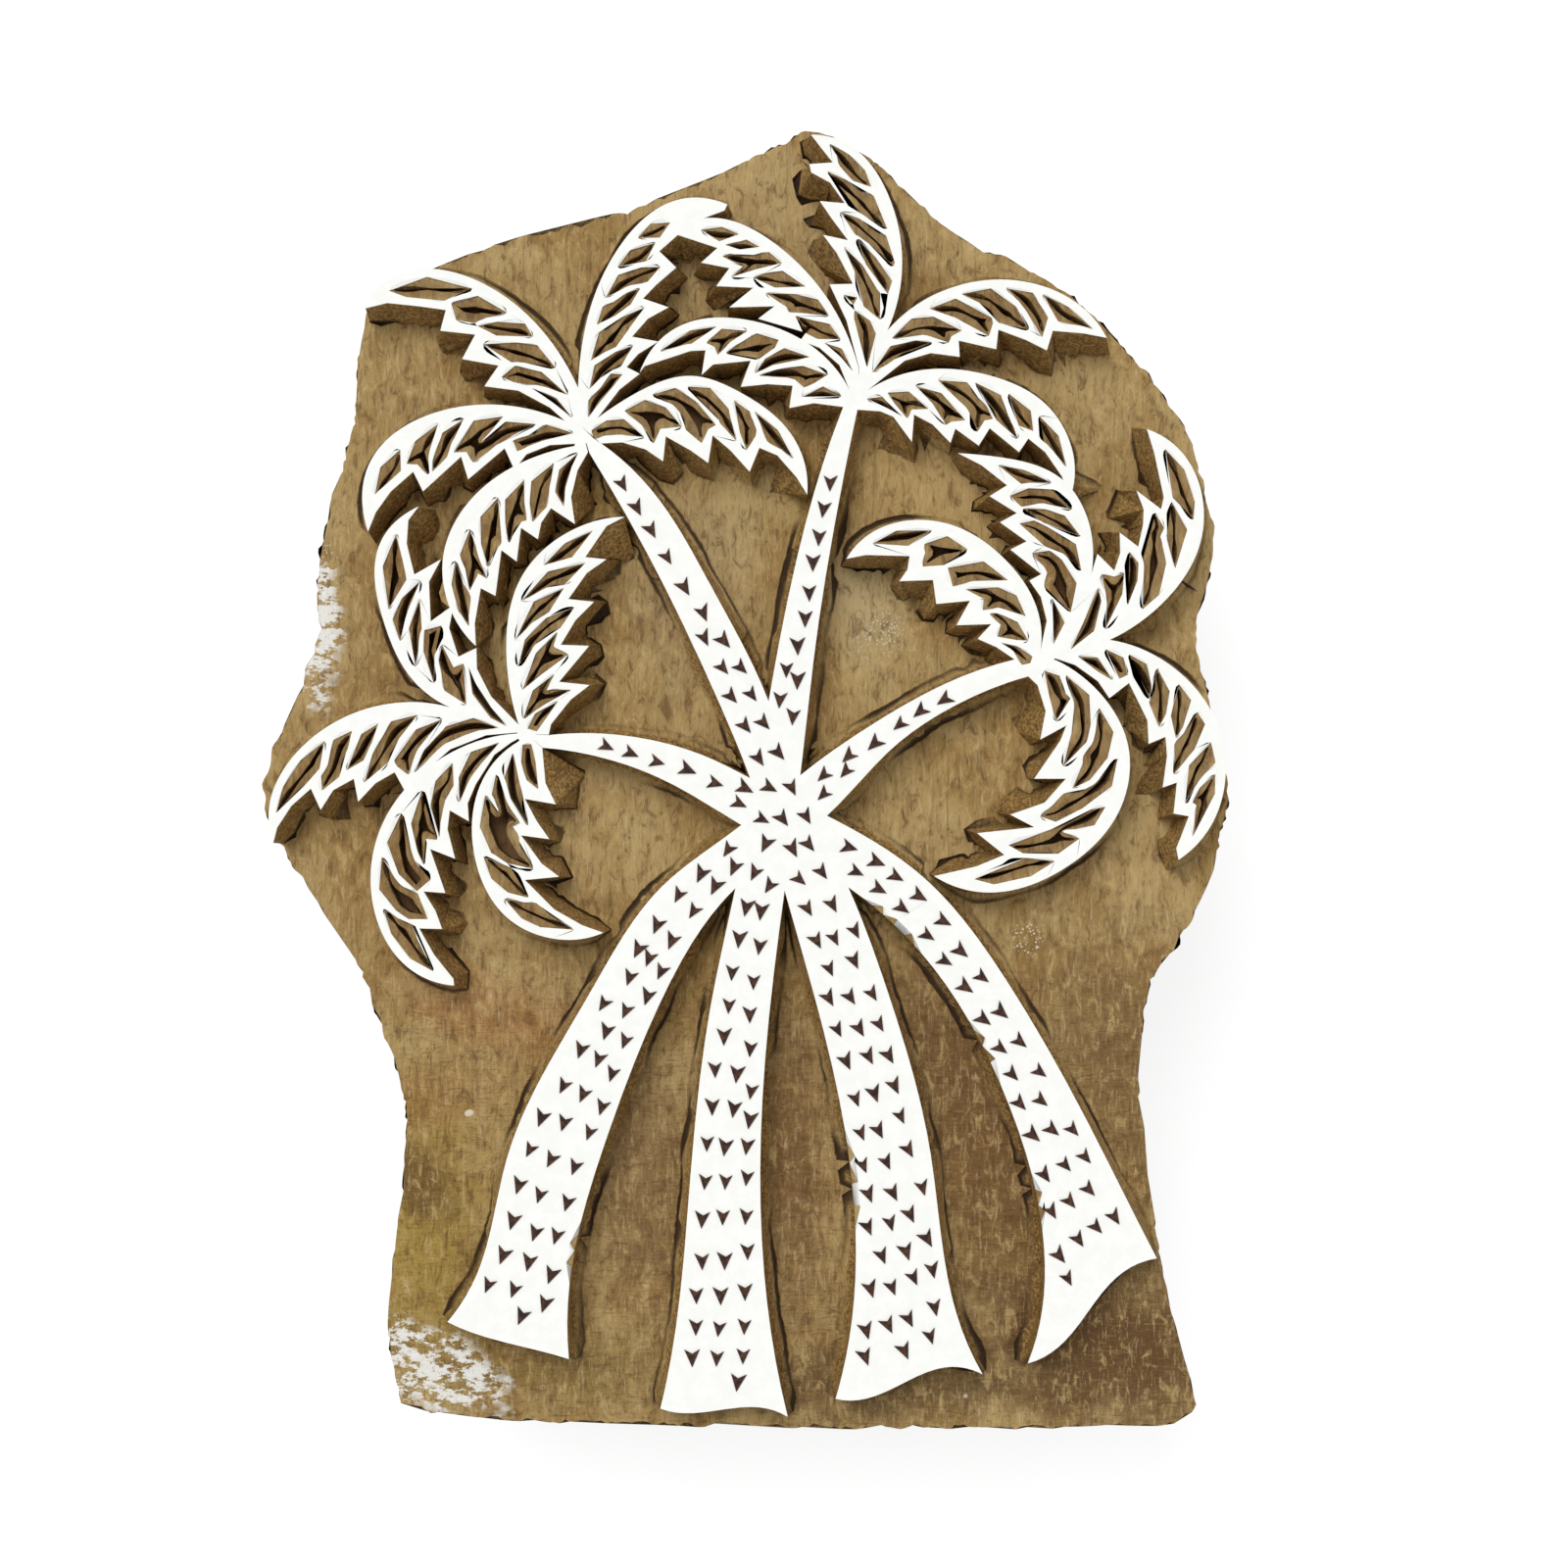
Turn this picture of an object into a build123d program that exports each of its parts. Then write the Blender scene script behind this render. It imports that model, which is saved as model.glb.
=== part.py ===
"""Carved wooden textile printing block with four crossing palm trees, print face up.

Millimetres. +Z points out of the print face, +X is the design's right and +Y its top.
The origin is the centre of the handle's flat outer face, on which the block lies.
"""

import os

from build123d import *

# Heights, from the face that the block lies on up to the print face
handle_height = 28.0
slab_thickness = 24.0
relief_height = 8.0
coat_thickness = 0.3
slit_depth = 4.0

# Handle
handle_length = 110.0
handle_end_width = 44.0
handle_mid_width = 38.0
handle_face_width = 30.0
handle_root_width = 34.0
handle_neck_width = 21.0
handle_neck_height = 16.5
handle_lip_height = 6.5
handle_end_round = 13.0

# Countersunk wood screws that hold the handle
screw_spacing = 72.0
screw_length = 42.0
screw_shank_radius = 2.25
screw_head_radius = 4.5
screw_head_depth = 3.6
screw_sink = 0.6
screw_point_length = 7.0
screw_slot_width = 1.2
screw_slot_depth = 1.4

back_z = handle_height
ground_z = back_z + slab_thickness
wood_top_z = ground_z + relief_height - coat_thickness
screw_bite = screw_sink + screw_length - handle_height
upward = (Align.CENTER, Align.CENTER, Align.MIN)

# Where the leaves of each crown spring from, and the knot of wood there
upper_left = (-30.2, 64.5)
upper_right = (20.8, 72.3)
left = (-40.3, 8.0)
right = (55.0, 21.3)
knot_radius = 1.7


def leaf(crown, back, teeth):
    """One leaf: a smooth back from the crown to the tip, then saw teeth back to the crown."""
    with BuildLine() as rim:
        Spline(*back)
        Polyline(back[-1], *teeth, crown, back[0])
    make_face(rim.edges())


def trunk(crown, left_side, foot, right_side):
    """Top of one trunk: down its left side, along the foot and up its right side to the crown."""
    with BuildLine() as rim:
        Spline(*left_side)
        Spline(left_side[-1], *foot, right_side[0])
        Spline(*right_side)
        Polyline(right_side[-1], crown, left_side[0])
    make_face(rim.edges())


def slits(*outlines):
    """The cuts that part a leaf into blades."""
    for outline in outlines:
        with BuildLine() as rim:
            Polyline(*outline, close=True)
        make_face(rim.edges())


# The slab's sawn outline: a pointed top, a waist below the middle and a squarer foot
with BuildSketch() as slab_plan:
    with BuildLine():
        Spline((11, 121.8), (21.7, 117.2), (40, 101.6), (58, 92.6), (67.6, 84.2), (79.5, 70.4), (86.4, 52))
        Spline((86.4, 52), (87.5, 40), (84.6, 26), (86.5, 15), (90, 0), (88.4, -14), (81.4, -30.6), (75.9, -37.9))
        Spline((75.9, -37.9), (73.7, -50), (74.9, -71), (78, -92), (82.3, -109.5), (84.5, -117.8))
        Polyline((84.5, -117.8), (80.4, -121.5), (25.4, -122), (-37.1, -120.9), (-59.1, -119.1), (-64.6, -116.9))
        Spline((-64.6, -116.9), (-67, -107), (-65.5, -83.8), (-64.2, -63), (-69.2, -45.3))
        Spline((-69.2, -45.3), (-79.3, -25.1), (-86.6, -14.1), (-90.3, -7), (-87, 9.8), (-80.2, 28.2))
        Spline((-80.2, 28.2), (-79.3, 46.5), (-73.4, 68.6), (-71.8, 85.5), (-69.2, 91.2))
        Polyline((-69.2, 91.2), (-48.1, 99.8), (-22.4, 106.2), (-0.3, 115.4), (11, 121.8))
    make_face()

# Four trunks, two upright and two leaning aside, cross at the waist and end in wavy feet
with BuildSketch() as upper_left_trunk:
    trunk(
        upper_left,
        [(-28.7, 59.6), (-15.9, 37), (-5, 14), (0.8, -0.1), (7.6, -22.4), (17.2, -59.2), (20.2, -90.2), (16.5, -114.1)],
        [(23.7, -113.6), (33, -109.3)],
        [(43.5, -109.6), (38.5, -97.8), (33.9, -68.8), (25.7, -38.2), (18.8, -20.1), (9, 0.5), (3.8, 15), (-6.4, 35.2),
         (-15.5, 50.5), (-26.6, 61.4)],
    )

with BuildSketch() as upper_right_trunk:
    trunk(
        upper_right,
        [(17.9, 68.1), (9.8, 42), (4.4, 15.2), (-1.9, -20.3), (-6.1, -40), (-9.9, -70), (-12.7, -100), (-15.7, -115.9)],
        [(-8, -116.6), (0.2, -115.6)],
        [(7.7, -117.4), (3.3, -90.2), (3.3, -55.1), (6.9, -22.4), (10.2, 2), (12.6, 22.8), (17.3, 51.8), (20.5, 67.6)],
    )

with BuildSketch() as left_trunk:
    trunk(
        left,
        [(-37.3, 5.5), (-30, 4.5), (-14.5, -0.7), (-0.8, -8.7), (18.8, -20.1), (34.6, -35.1), (47.7, -58.5),
         (54.3, -81.6), (54.3, -98.8), (51.8, -107.6)],
        [(59.6, -102.4), (64.6, -95.7)],
        [(75.5, -88.3), (63.9, -65.4), (47.4, -36.5), (32.4, -18.1), (14.9, -7), (0.8, -0.1), (-6.2, 3.4),
         (-20, 7.4), (-36.2, 7.8)],
    )

with BuildSketch() as right_trunk:
    trunk(
        right,
        [(49.4, 21.7), (38.1, 17.9), (22.8, 9.5), (10.6, 0.9), (-0.8, -8.7), (-15.4, -20), (-28.9, -40),
         (-43.9, -70), (-48.9, -90), (-54.8, -100)],
        [(-47.3, -102.9), (-38.2, -105.2)],
        [(-32.5, -106.8), (-32, -90), (-25.5, -66), (-15.1, -40), (-1.9, -20.3), (14.9, -7), (26.9, 5.4),
         (39.9, 14), (51.9, 18.6)],
    )

with BuildSketch() as upper_left_plan:
    with Locations(upper_left):
        Circle(knot_radius)
    leaf(
        upper_left,
        [(-30.8, 71.6), (-36, 80.4), (-46.3, 89.7), (-60, 93.4), (-69.7, 87.6)],
        [(-69.9, 86.2), (-65.9, 87.2), (-60.1, 86.6), (-55.1, 85.9), (-56.1, 82.1), (-49.7, 81.4),
         (-52.1, 76.9), (-45.4, 75.7), (-48, 71.9), (-41.8, 71.1), (-36, 68), (-33.2, 65.5)],
    )
    leaf(
        upper_left,
        [(-33.2, 65.5), (-39.4, 67.6), (-53.2, 68), (-65.9, 62.1), (-69.4, 45.2)],
        [(-68, 48.7), (-65.2, 52.6), (-61.1, 56.2), (-59.3, 52.6), (-52.3, 59), (-51, 54.8),
         (-44.3, 60.5), (-42.5, 56.6), (-40.3, 59.4), (-36, 61.1), (-28.6, 61.5)],
    )
    leaf(
        upper_left,
        [(-31.5, 60.9), (-40, 58.4), (-50.4, 51.2), (-55.6, 40.5), (-53.6, 29.5), (-49.6, 24.2)],
        [(-49.8, 28.3), (-48.7, 34.8), (-46, 33.4), (-44.9, 41.8), (-42.1, 39.7), (-41.3, 45.9),
         (-38.2, 43.8), (-37.6, 46.8), (-35.8, 49.5), (-31.4, 46.6), (-32.1, 51.5), (-30.9, 56.5),
         (-29, 59.8)],
    )
    leaf(
        upper_left,
        [(-30.8, 71.6), (-29.4, 83), (-23.9, 96.5), (-15.2, 105.1), (-3.4, 105.3)],
        [(-3.9, 104.2), (-12.2, 101.1), (-12.5, 99.7), (-15.9, 96.7), (-12.8, 93.7), (-16.5, 90.5),
         (-18.9, 88), (-14.2, 86.4), (-18, 84.3), (-20.9, 81), (-16.1, 80.1), (-19.8, 77.8),
         (-21.9, 75.4), (-19.5, 74.2), (-23.2, 71.3), (-27.3, 66)],
    )
    leaf(
        upper_left,
        [(-27.3, 66), (-19.3, 71.1), (-10.1, 73.8), (-0.9, 70.7), (6.9, 64.9), (11.3, 52)],
        [(9.3, 55.2), (5.8, 59.2), (2.5, 60.6), (0.7, 56.2), (-2.8, 60.1), (-6.1, 62.9),
         (-6.9, 57.8), (-10.1, 60.1), (-14.7, 62.7), (-15.2, 58.1), (-18.4, 60.3), (-22.7, 61.6),
         (-26.6, 61.4)],
    )

with BuildSketch() as upper_left_slits:
    slits(
        [(-65.8, 89.5), (-58.7, 91.2), (-50.1, 89.8), (-55.2, 88.1), (-62.1, 89.2)],
        [(-54.2, 87.2), (-49.5, 87.8), (-43.9, 85.2), (-49.7, 84.1), (-52.8, 84.7)],
        [(-49.4, 83.3), (-45.5, 83.8), (-40.8, 82.8), (-39.2, 81), (-45.6, 81.4)],
        [(-48.4, 79.8), (-42.5, 79.9), (-38.7, 78.6), (-34.9, 75.2), (-42.9, 76.7)],
        [(-44.7, 73.5), (-42.3, 75.8), (-37.7, 74.5), (-32.5, 69.9), (-36, 71.8), (-42.5, 72.8)],
        [(-39.6, 71.8), (-34.9, 69.6), (-31.6, 65.8), (-35.2, 68.7)],
    )
    slits(
        [(-63.3, 60.2), (-66.2, 56.6), (-68, 51.8), (-63.4, 56.2)],
        [(-56.3, 65), (-60, 61), (-62.7, 57.5), (-60, 58.7), (-58.5, 55.3), (-58.2, 60.5)],
        [(-51.7, 65.8), (-55.5, 63), (-57.6, 58.4), (-57.7, 56.1), (-54.8, 58.9), (-54.2, 62)],
        [(-44.4, 66.1), (-49.5, 65), (-54.2, 59.4), (-50.9, 61), (-50, 57.9), (-49.3, 61)],
        [(-38.2, 64.7), (-44, 64.9), (-49.3, 61), (-50, 57.9), (-45.5, 62.2)],
        [(-31.5, 63), (-36.5, 63.9), (-41, 62.4), (-43, 62.2), (-41.8, 60.2), (-37, 62)],
    )
    slits(
        [(-30.5, 59.8), (-34, 56.5), (-34.9, 52.5), (-33.2, 49.6), (-33.3, 53.5), (-32, 57.2)],
        [(-35, 57.7), (-38.8, 54.2), (-39.8, 50.2), (-39.1, 46.5), (-37, 50), (-36.1, 54.5)],
        [(-40.5, 54.7), (-43.6, 50.8), (-44.3, 46.8), (-43.8, 42.6), (-41.8, 48.3), (-40, 47.3), (-41, 51.5)],
        [(-45.3, 51.4), (-47.8, 47.6), (-48.6, 43), (-47.6, 38.6), (-45.8, 43.9), (-44.9, 43.4)],
        [(-50.5, 45.7), (-51.6, 41), (-50.8, 34.1), (-49.3, 38.3), (-47.7, 36.5), (-49.6, 42)],
        [(-53.2, 39.9), (-53.6, 35.5), (-52.5, 30.5), (-50.8, 27.7), (-51.2, 33)],
    )
    slits(
        [(-20, 99.1), (-17.3, 101.3), (-14, 101.9), (-15.9, 99.3)],
        [(-23.6, 93.6), (-20.5, 96.1), (-16.5, 98.5), (-18.6, 94.7)],
        [(-25.8, 87.9), (-23, 91.8), (-19.4, 93.8), (-15.1, 94), (-18.2, 91.6), (-22.2, 90.2)],
        [(-27.3, 82.9), (-25.5, 86), (-22, 89), (-19.4, 90.1), (-21.5, 87.1), (-24, 84.8)],
        [(-28.4, 76.4), (-26.3, 81.5), (-22.7, 84.7), (-18.3, 86.5), (-21.6, 83), (-23.8, 79), (-26, 78.5)],
        [(-28.7, 71), (-27.3, 75.3), (-24, 78.2), (-20.1, 79.6), (-23.2, 76.6), (-26.8, 73.6)],
        [(-28.9, 65.7), (-28.5, 69), (-26.2, 71.8), (-24.9, 74.4), (-22.6, 74), (-24.2, 72), (-27, 69.5)],
    )
    slits(
        [(-28.5, 63.8), (-25.7, 65.4), (-22.3, 65.6), (-18.2, 62.6), (-23, 63.2), (-27.8, 62.9)],
        [(-22.5, 67.3), (-18.5, 68.6), (-14.6, 68), (-11.5, 64.7), (-16.3, 65.1), (-16.7, 61.2), (-18.8, 65)],
        [(-17.2, 70.3), (-13, 70.8), (-9, 69.2), (-5.3, 64.9), (-7.5, 65), (-7.8, 61.4), (-10.3, 64.6), (-13, 68.6)],
        [(-10.8, 71.6), (-6.8, 70.9), (-3.4, 67.5), (-1.5, 62), (-4.4, 65.4)],
        [(-2.3, 69.3), (0.2, 66.7), (2, 64), (0.9, 63.3), (0.3, 60.1), (-1.1, 63.5)],
        [(1.6, 67.3), (5.7, 63.7), (8.8, 58.5), (4.5, 62.2)],
    )

with BuildSketch() as upper_right_plan:
    with Locations(upper_right):
        Circle(knot_radius)
    leaf(
        upper_right,
        [(20.7, 75.4), (15, 88), (6, 97.6), (-4.5, 102.7), (-13, 100.9)],
        [(-12.5, 99.7), (-5.2, 97.3), (-8.2, 94.6), (-3, 93.6), (-5.4, 90.3), (1.4, 90),
         (-3, 86.4), (5.3, 86.6), (2.3, 84.3), (11.9, 82.6), (10, 80.3), (13.5, 79),
         (17.2, 75.8), (19.1, 71.1)],
    )
    leaf(
        upper_right,
        [(19.1, 71.1), (13, 78.6), (2.1, 83.7), (-9.9, 83.8), (-19.5, 74.4)],
        [(-18.6, 75.6), (-10.1, 78.4), (-7.4, 78.5), (-8.1, 74), (-6, 75.9), (0.9, 76.6),
         (-0.9, 71.8), (4, 72.3), (8.6, 72), (8, 67.9), (12.5, 68.8), (17.9, 68.1)],
    )
    leaf(
        upper_right,
        [(26, 82.1), (28.7, 93.4), (26.7, 105.7), (20.2, 115.4), (12, 118.1)],
        [(14, 115.5), (16, 113), (11.7, 112.7), (12, 111.2), (15.5, 109.3), (18.2, 105.5),
         (13.6, 105.9), (15.8, 102.7), (18.8, 98.7), (14.2, 99.7), (16.7, 96.4), (19.7, 90.7),
         (15.4, 90.6), (18.5, 84), (20.8, 75.4)],
    )
    leaf(
        upper_right,
        [(26, 82.1), (37.5, 89.9), (50, 91.3), (60.5, 87.4), (66.3, 80.8)],
        [(62.2, 81.6), (56.4, 82.1), (55.3, 78.5), (51.5, 80.4), (46.4, 82.3), (46, 78.7),
         (39.1, 80.3), (39.3, 77.3), (34, 78), (29.2, 76.6), (22.3, 71.1)],
    )
    leaf(
        upper_right,
        [(22.3, 71.1), (32.6, 74.9), (44.7, 73.9), (55.3, 68.4), (60, 60), (59.5, 51.2)],
        [(58.1, 55.3), (55, 59.8), (51.9, 62.3), (50.2, 59.8), (44.8, 64.2), (42.8, 61),
         (38.5, 64.1), (37.6, 61.5), (34.3, 64.9), (30.9, 66.7), (30.5, 61.7), (27.1, 66.3),
         (24.7, 67.3), (20.5, 67.6)],
    )

with BuildSketch() as upper_right_slits:
    slits(
        [(-8.5, 100.6), (-4.5, 100.5), (-1, 99.7), (-4.8, 98.7)],
        [(-4, 98), (0, 98.2), (2.7, 97.2), (-1.2, 96.9)],
        [(-4.3, 95.7), (-2.8, 96.1), (4, 95.7), (6.6, 94.4), (1.8, 93.7), (-2.8, 91.9), (0.4, 94)],
        [(1.3, 91.9), (3.5, 92.6), (6.5, 92.4), (11, 90), (5.3, 89.9)],
        [(3.7, 89.3), (9, 88.8), (13, 87.2), (15.9, 84.7), (8, 85.8), (8.6, 86.9)],
        [(9, 84.9), (12, 84), (15, 82.7), (17.8, 80.4), (13.3, 80.6)],
        [(14, 80.2), (17.2, 78.2), (19.9, 74.6), (17.5, 77.2)],
    )
    slits(
        [(-5.3, 82.8), (-10.1, 82.2), (-16, 78.3), (-10.1, 80)],
        [(0.4, 81.9), (-4.2, 81.9), (-7.5, 80.1), (-4.8, 79.8), (-5.3, 77.4), (-2.8, 80.3)],
        [(6, 80.2), (2.1, 80.8), (-1.5, 79.6), (-4.2, 78), (2.7, 77), (5.1, 79)],
        [(11.8, 77.2), (7.2, 78.2), (3.6, 77.2), (1.5, 74), (5.1, 75.9), (8.5, 76.9)],
        [(15.2, 73.9), (10.4, 75.2), (6, 75.1), (1.9, 73.9), (9.5, 73.6), (10.7, 71.5), (12, 72.9)],
        [(17.9, 69.6), (14, 71.5), (9.9, 69.7)],
    )
    slits(
        [(15.1, 116.8), (18.4, 114), (21.5, 111.2), (23, 108.4), (19.6, 109.4), (17.8, 112.8)],
        [(14.8, 111.3), (18.7, 109.6), (22.8, 106.3), (25.8, 100.6), (21, 103.7)],
        [(17.3, 103.9), (21, 102.7), (25.2, 99.1), (27.5, 95), (27.2, 94), (20.5, 99.9)],
        [(20.6, 99.4), (23.7, 95.8), (26, 91), (25.9, 88.8), (22, 94.2)],
        [(17.8, 97.6), (21.5, 94.2), (24.5, 89), (24.6, 83.9), (22.1, 86.8), (20, 93)],
        [(17.9, 88.7), (20.8, 88.5), (19.7, 87.4)],
        [(19.8, 86.2), (22.5, 83.6), (23.3, 81.5), (22.2, 75.2), (20.7, 84.2)],
    )
    slits(
        [(54.6, 89), (59.1, 85.9), (63.9, 82.3), (57.7, 84.3)],
        [(47.8, 90.1), (52.2, 88.3), (55.2, 84.5), (54.8, 80.8), (50.5, 88)],
        [(39.5, 88.9), (44.7, 89.2), (49.5, 86.3), (52, 82.4), (46.8, 84), (43.3, 87.7)],
        [(33.8, 86.1), (38.5, 87.3), (45.4, 84.8), (44.4, 83.8), (45, 81.1), (38.5, 85.2)],
        [(26.6, 80.6), (30.5, 83.7), (34.5, 84.3), (40, 82.1), (36.8, 82), (37.4, 80), (33.3, 81.5)],
        [(23, 74.4), (26.8, 79), (31, 80.4), (34.5, 80.2), (26, 77)],
    )
    slits(
        [(25.9, 70.4), (29.9, 70.2), (34, 67.7), (29.9, 68.6), (29.7, 65.9), (27.5, 68.5)],
        [(21.9, 69.7), (25, 69.4), (29.2, 66.1), (25.4, 68.2)],
        [(31.1, 71.8), (35.7, 70.4), (40.9, 65.6), (37.2, 66.5), (36.7, 64.9), (34.5, 69)],
        [(35.2, 73), (40.2, 71.8), (44.3, 68.4), (45.6, 66.1), (43.3, 66.6), (42.8, 63.4), (41, 68.3)],
        [(41.9, 72.5), (46.4, 69.8), (49.1, 64.6), (50.1, 61.8), (46.7, 66)],
        [(48.1, 70.4), (51.5, 67), (53.1, 63.6), (50, 64.7)],
        [(53.8, 66.3), (57.1, 62.5), (58.9, 57), (55, 61.8)],
    )

with BuildSketch() as left_plan:
    with Locations(left):
        Circle(knot_radius)
    leaf(
        left,
        [(-54.3, 12.9), (-62, 19), (-66.3, 28), (-68, 40.2), (-60.1, 49.8)],
        [(-62, 47.3), (-62.3, 43), (-60.9, 37.3), (-56, 40.1), (-58.2, 36), (-57.9, 28.7),
         (-53.7, 31.7), (-54.5, 27.5), (-52.8, 22.2), (-49.5, 23.8), (-49.4, 20), (-46.8, 14.9),
         (-41.7, 9.7)],
    )
    leaf(
        left,
        [(-54.3, 12.9), (-68, 13.1), (-80.5, 6.6), (-87.3, -4), (-86.8, -12)],
        [(-86.1, -9.2), (-83.5, -5.2), (-79.9, -2), (-78.1, -5.9), (-75.8, -2.3), (-72, -0.2),
         (-71.2, -4.4), (-68, -1), (-64.5, 1), (-62.6, -2.5), (-60.2, 0.1), (-54.3, 5.2),
         (-47.7, 7.8), (-41.9, 8.3)],
    )
    leaf(
        left,
        [(-41.9, 8.1), (-55.2, 4), (-66, -7), (-68.9, -17.5), (-64.4, -32.5), (-53.6, -38.2)],
        [(-53.7, -37), (-57.3, -32.5), (-60, -27.7), (-55.8, -27.8), (-57, -24.5), (-59.2, -20.9),
         (-55.2, -21.2), (-58, -13.1), (-53.4, -14.9), (-54.8, -9.5), (-54.4, -6), (-50.9, -8),
         (-51.1, -4.7), (-49.6, -1.2), (-46.2, 4.2), (-43.2, 6.4)],
    )
    leaf(
        left,
        [(-41.8, 6.6), (-48.9, -1.7), (-49.9, -14), (-43.5, -26), (-33, -29.8), (-26.2, -28.5)],
        [(-30.1, -27.1), (-35.2, -24.2), (-40.6, -18.8), (-34.3, -18.2), (-37.5, -15.8),
         (-41.3, -10.6), (-36.1, -11.3), (-38.4, -8), (-40.6, -3.9), (-34.9, -4.9), (-36.8, -1),
         (-37.4, 5.5)],
    )
    leaf(
        left,
        [(-41.7, 9.7), (-44, 24), (-41, 37.2), (-31, 45.9), (-22.3, 47.9)],
        [(-25.6, 46.2), (-29.5, 40.5), (-25.6, 40.1), (-29.2, 37.6), (-32.6, 32.8), (-27.9, 32.3),
         (-31.3, 28.9), (-34, 24.4), (-28.8, 24.2), (-34.3, 17.6), (-28.7, 17), (-32.2, 14.3),
         (-35.8, 9.8), (-36.2, 7.9)],
    )

with BuildSketch() as left_slits:
    slits(
        [(-64.3, 44.9), (-66.2, 38.8), (-65.7, 30.7), (-62.5, 36.3), (-63.5, 40.2)],
        [(-59.8, 36.3), (-63.2, 33.1), (-64.1, 29), (-63.5, 24.9), (-62.3, 30.4)],
        [(-60, 33.1), (-62, 27.4), (-60.5, 20.2), (-59.8, 27.4)],
        [(-59.3, 27.2), (-56.1, 27.9), (-57.2, 22.5), (-57.1, 17.4), (-59.2, 23)],
        [(-56.1, 24.7), (-56.6, 21.5), (-54.5, 16.5), (-51.3, 13.2), (-51.7, 20.9), (-54, 19.2)],
        [(-51, 20.5), (-50.1, 15.5), (-46.8, 11.2), (-43.5, 9.3), (-46.8, 12.9), (-49.5, 17)],
    )
    slits(
        [(-77.4, 6.7), (-81.5, 2.8), (-84.5, -2), (-86.6, -6.9), (-81.2, -1.1), (-78.2, 1.8)],
        [(-72.1, 8.6), (-75.3, 6.4), (-76.6, 1.9), (-78, 0.3), (-77.8, -2.6), (-75, 0.4), (-73.7, 5.5)],
        [(-67.2, 10.1), (-70, 7.4), (-73.8, 1.3), (-70.3, 3.3), (-69.2, 6.5)],
        [(-60.2, 11.4), (-64.5, 9.7), (-68.4, 4.3), (-70, -1.1), (-66, 3.1), (-64.3, 7.5)],
        [(-55.4, 10.7), (-60.3, 8.5), (-64.8, 3.2), (-63.4, 3), (-62, 0.4), (-60.3, 5.5)],
        [(-45.1, 9.1), (-50, 10.5), (-55, 9.1), (-59.2, 4.9), (-61.1, 0.9), (-56, 7), (-51.4, 8.6)],
    )
    slits(
        [(-45, 6.7), (-50.1, 4.3), (-52.8, 0.1), (-52.5, -4.7), (-50.7, 0.1)],
        [(-53.8, 2.8), (-56.5, -0.8), (-58.1, -5), (-56.3, -11.2), (-56.2, -3.4), (-53.5, -1.5)],
        [(-59.3, -2.3), (-61.4, -8.5), (-60.3, -13.5), (-59.3, -16.5), (-59.5, -10.4), (-56.6, -11.2)],
        [(-63.2, -6.4), (-65, -12), (-63.8, -17.8), (-60.6, -21.2), (-58.4, -18.7), (-61.1, -14.9)],
        [(-66.9, -14.6), (-66.5, -20.3), (-64.5, -24.3), (-62, -26), (-58.5, -25.9), (-60.3, -21.5), (-63.8, -19.6)],
        [(-66.4, -24), (-65, -28.3), (-61.1, -32.8), (-57.4, -35.5), (-61.6, -27.1), (-63.8, -25.9)],
    )
    slits(
        [(-41.1, 6.2), (-39.1, 6.4), (-39.2, 2.5), (-38, -2), (-39.8, -0.3), (-41, 2.8)],
        [(-42.9, 5.2), (-44.1, 0.1), (-43.3, -4), (-39.8, -9), (-42, -3.5)],
        [(-45.7, 0.8), (-46, -3), (-45, -7.7), (-42.9, -10.4), (-43.6, -8.2), (-41.4, -8.3), (-43.7, -5)],
        [(-47.9, -3.2), (-48.4, -9), (-46.5, -13.7), (-43.8, -15.9), (-39, -16.6), (-42.3, -11.2)],
        [(-48.2, -14.4), (-46, -18), (-43.2, -20.5), (-39.6, -22.3), (-43.2, -16.4)],
        [(-44.3, -22.3), (-41.1, -25.6), (-37.6, -27.2), (-31.3, -27.9), (-38.8, -23.6)],
    )
    slits(
        [(-28, 45.5), (-33.1, 42.9), (-37.1, 38.9), (-32.2, 40.8)],
        [(-28.9, 39.5), (-36.1, 37.6), (-41.3, 32.2), (-36.7, 35.2), (-33.6, 36)],
        [(-33.4, 34.9), (-38.8, 32.5), (-42.3, 25), (-39.5, 28.6), (-36.1, 30.3)],
        [(-31.3, 31.3), (-36.7, 29.5), (-40.5, 25.3), (-41.7, 20.4), (-38.8, 24.7), (-34.3, 27.7)],
        [(-34.4, 27.1), (-38.5, 22.8), (-40.8, 15.9), (-37, 19.6), (-32.6, 22.8), (-36.3, 23.5)],
        [(-35.3, 19.3), (-39.1, 16.1), (-40.8, 10.8), (-37, 13.4), (-32, 16.2), (-37.4, 15.6)],
        [(-34.3, 14.3), (-38.8, 11.9), (-40.1, 9), (-38.2, 8.3), (-36.6, 11.2)],
    )

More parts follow.
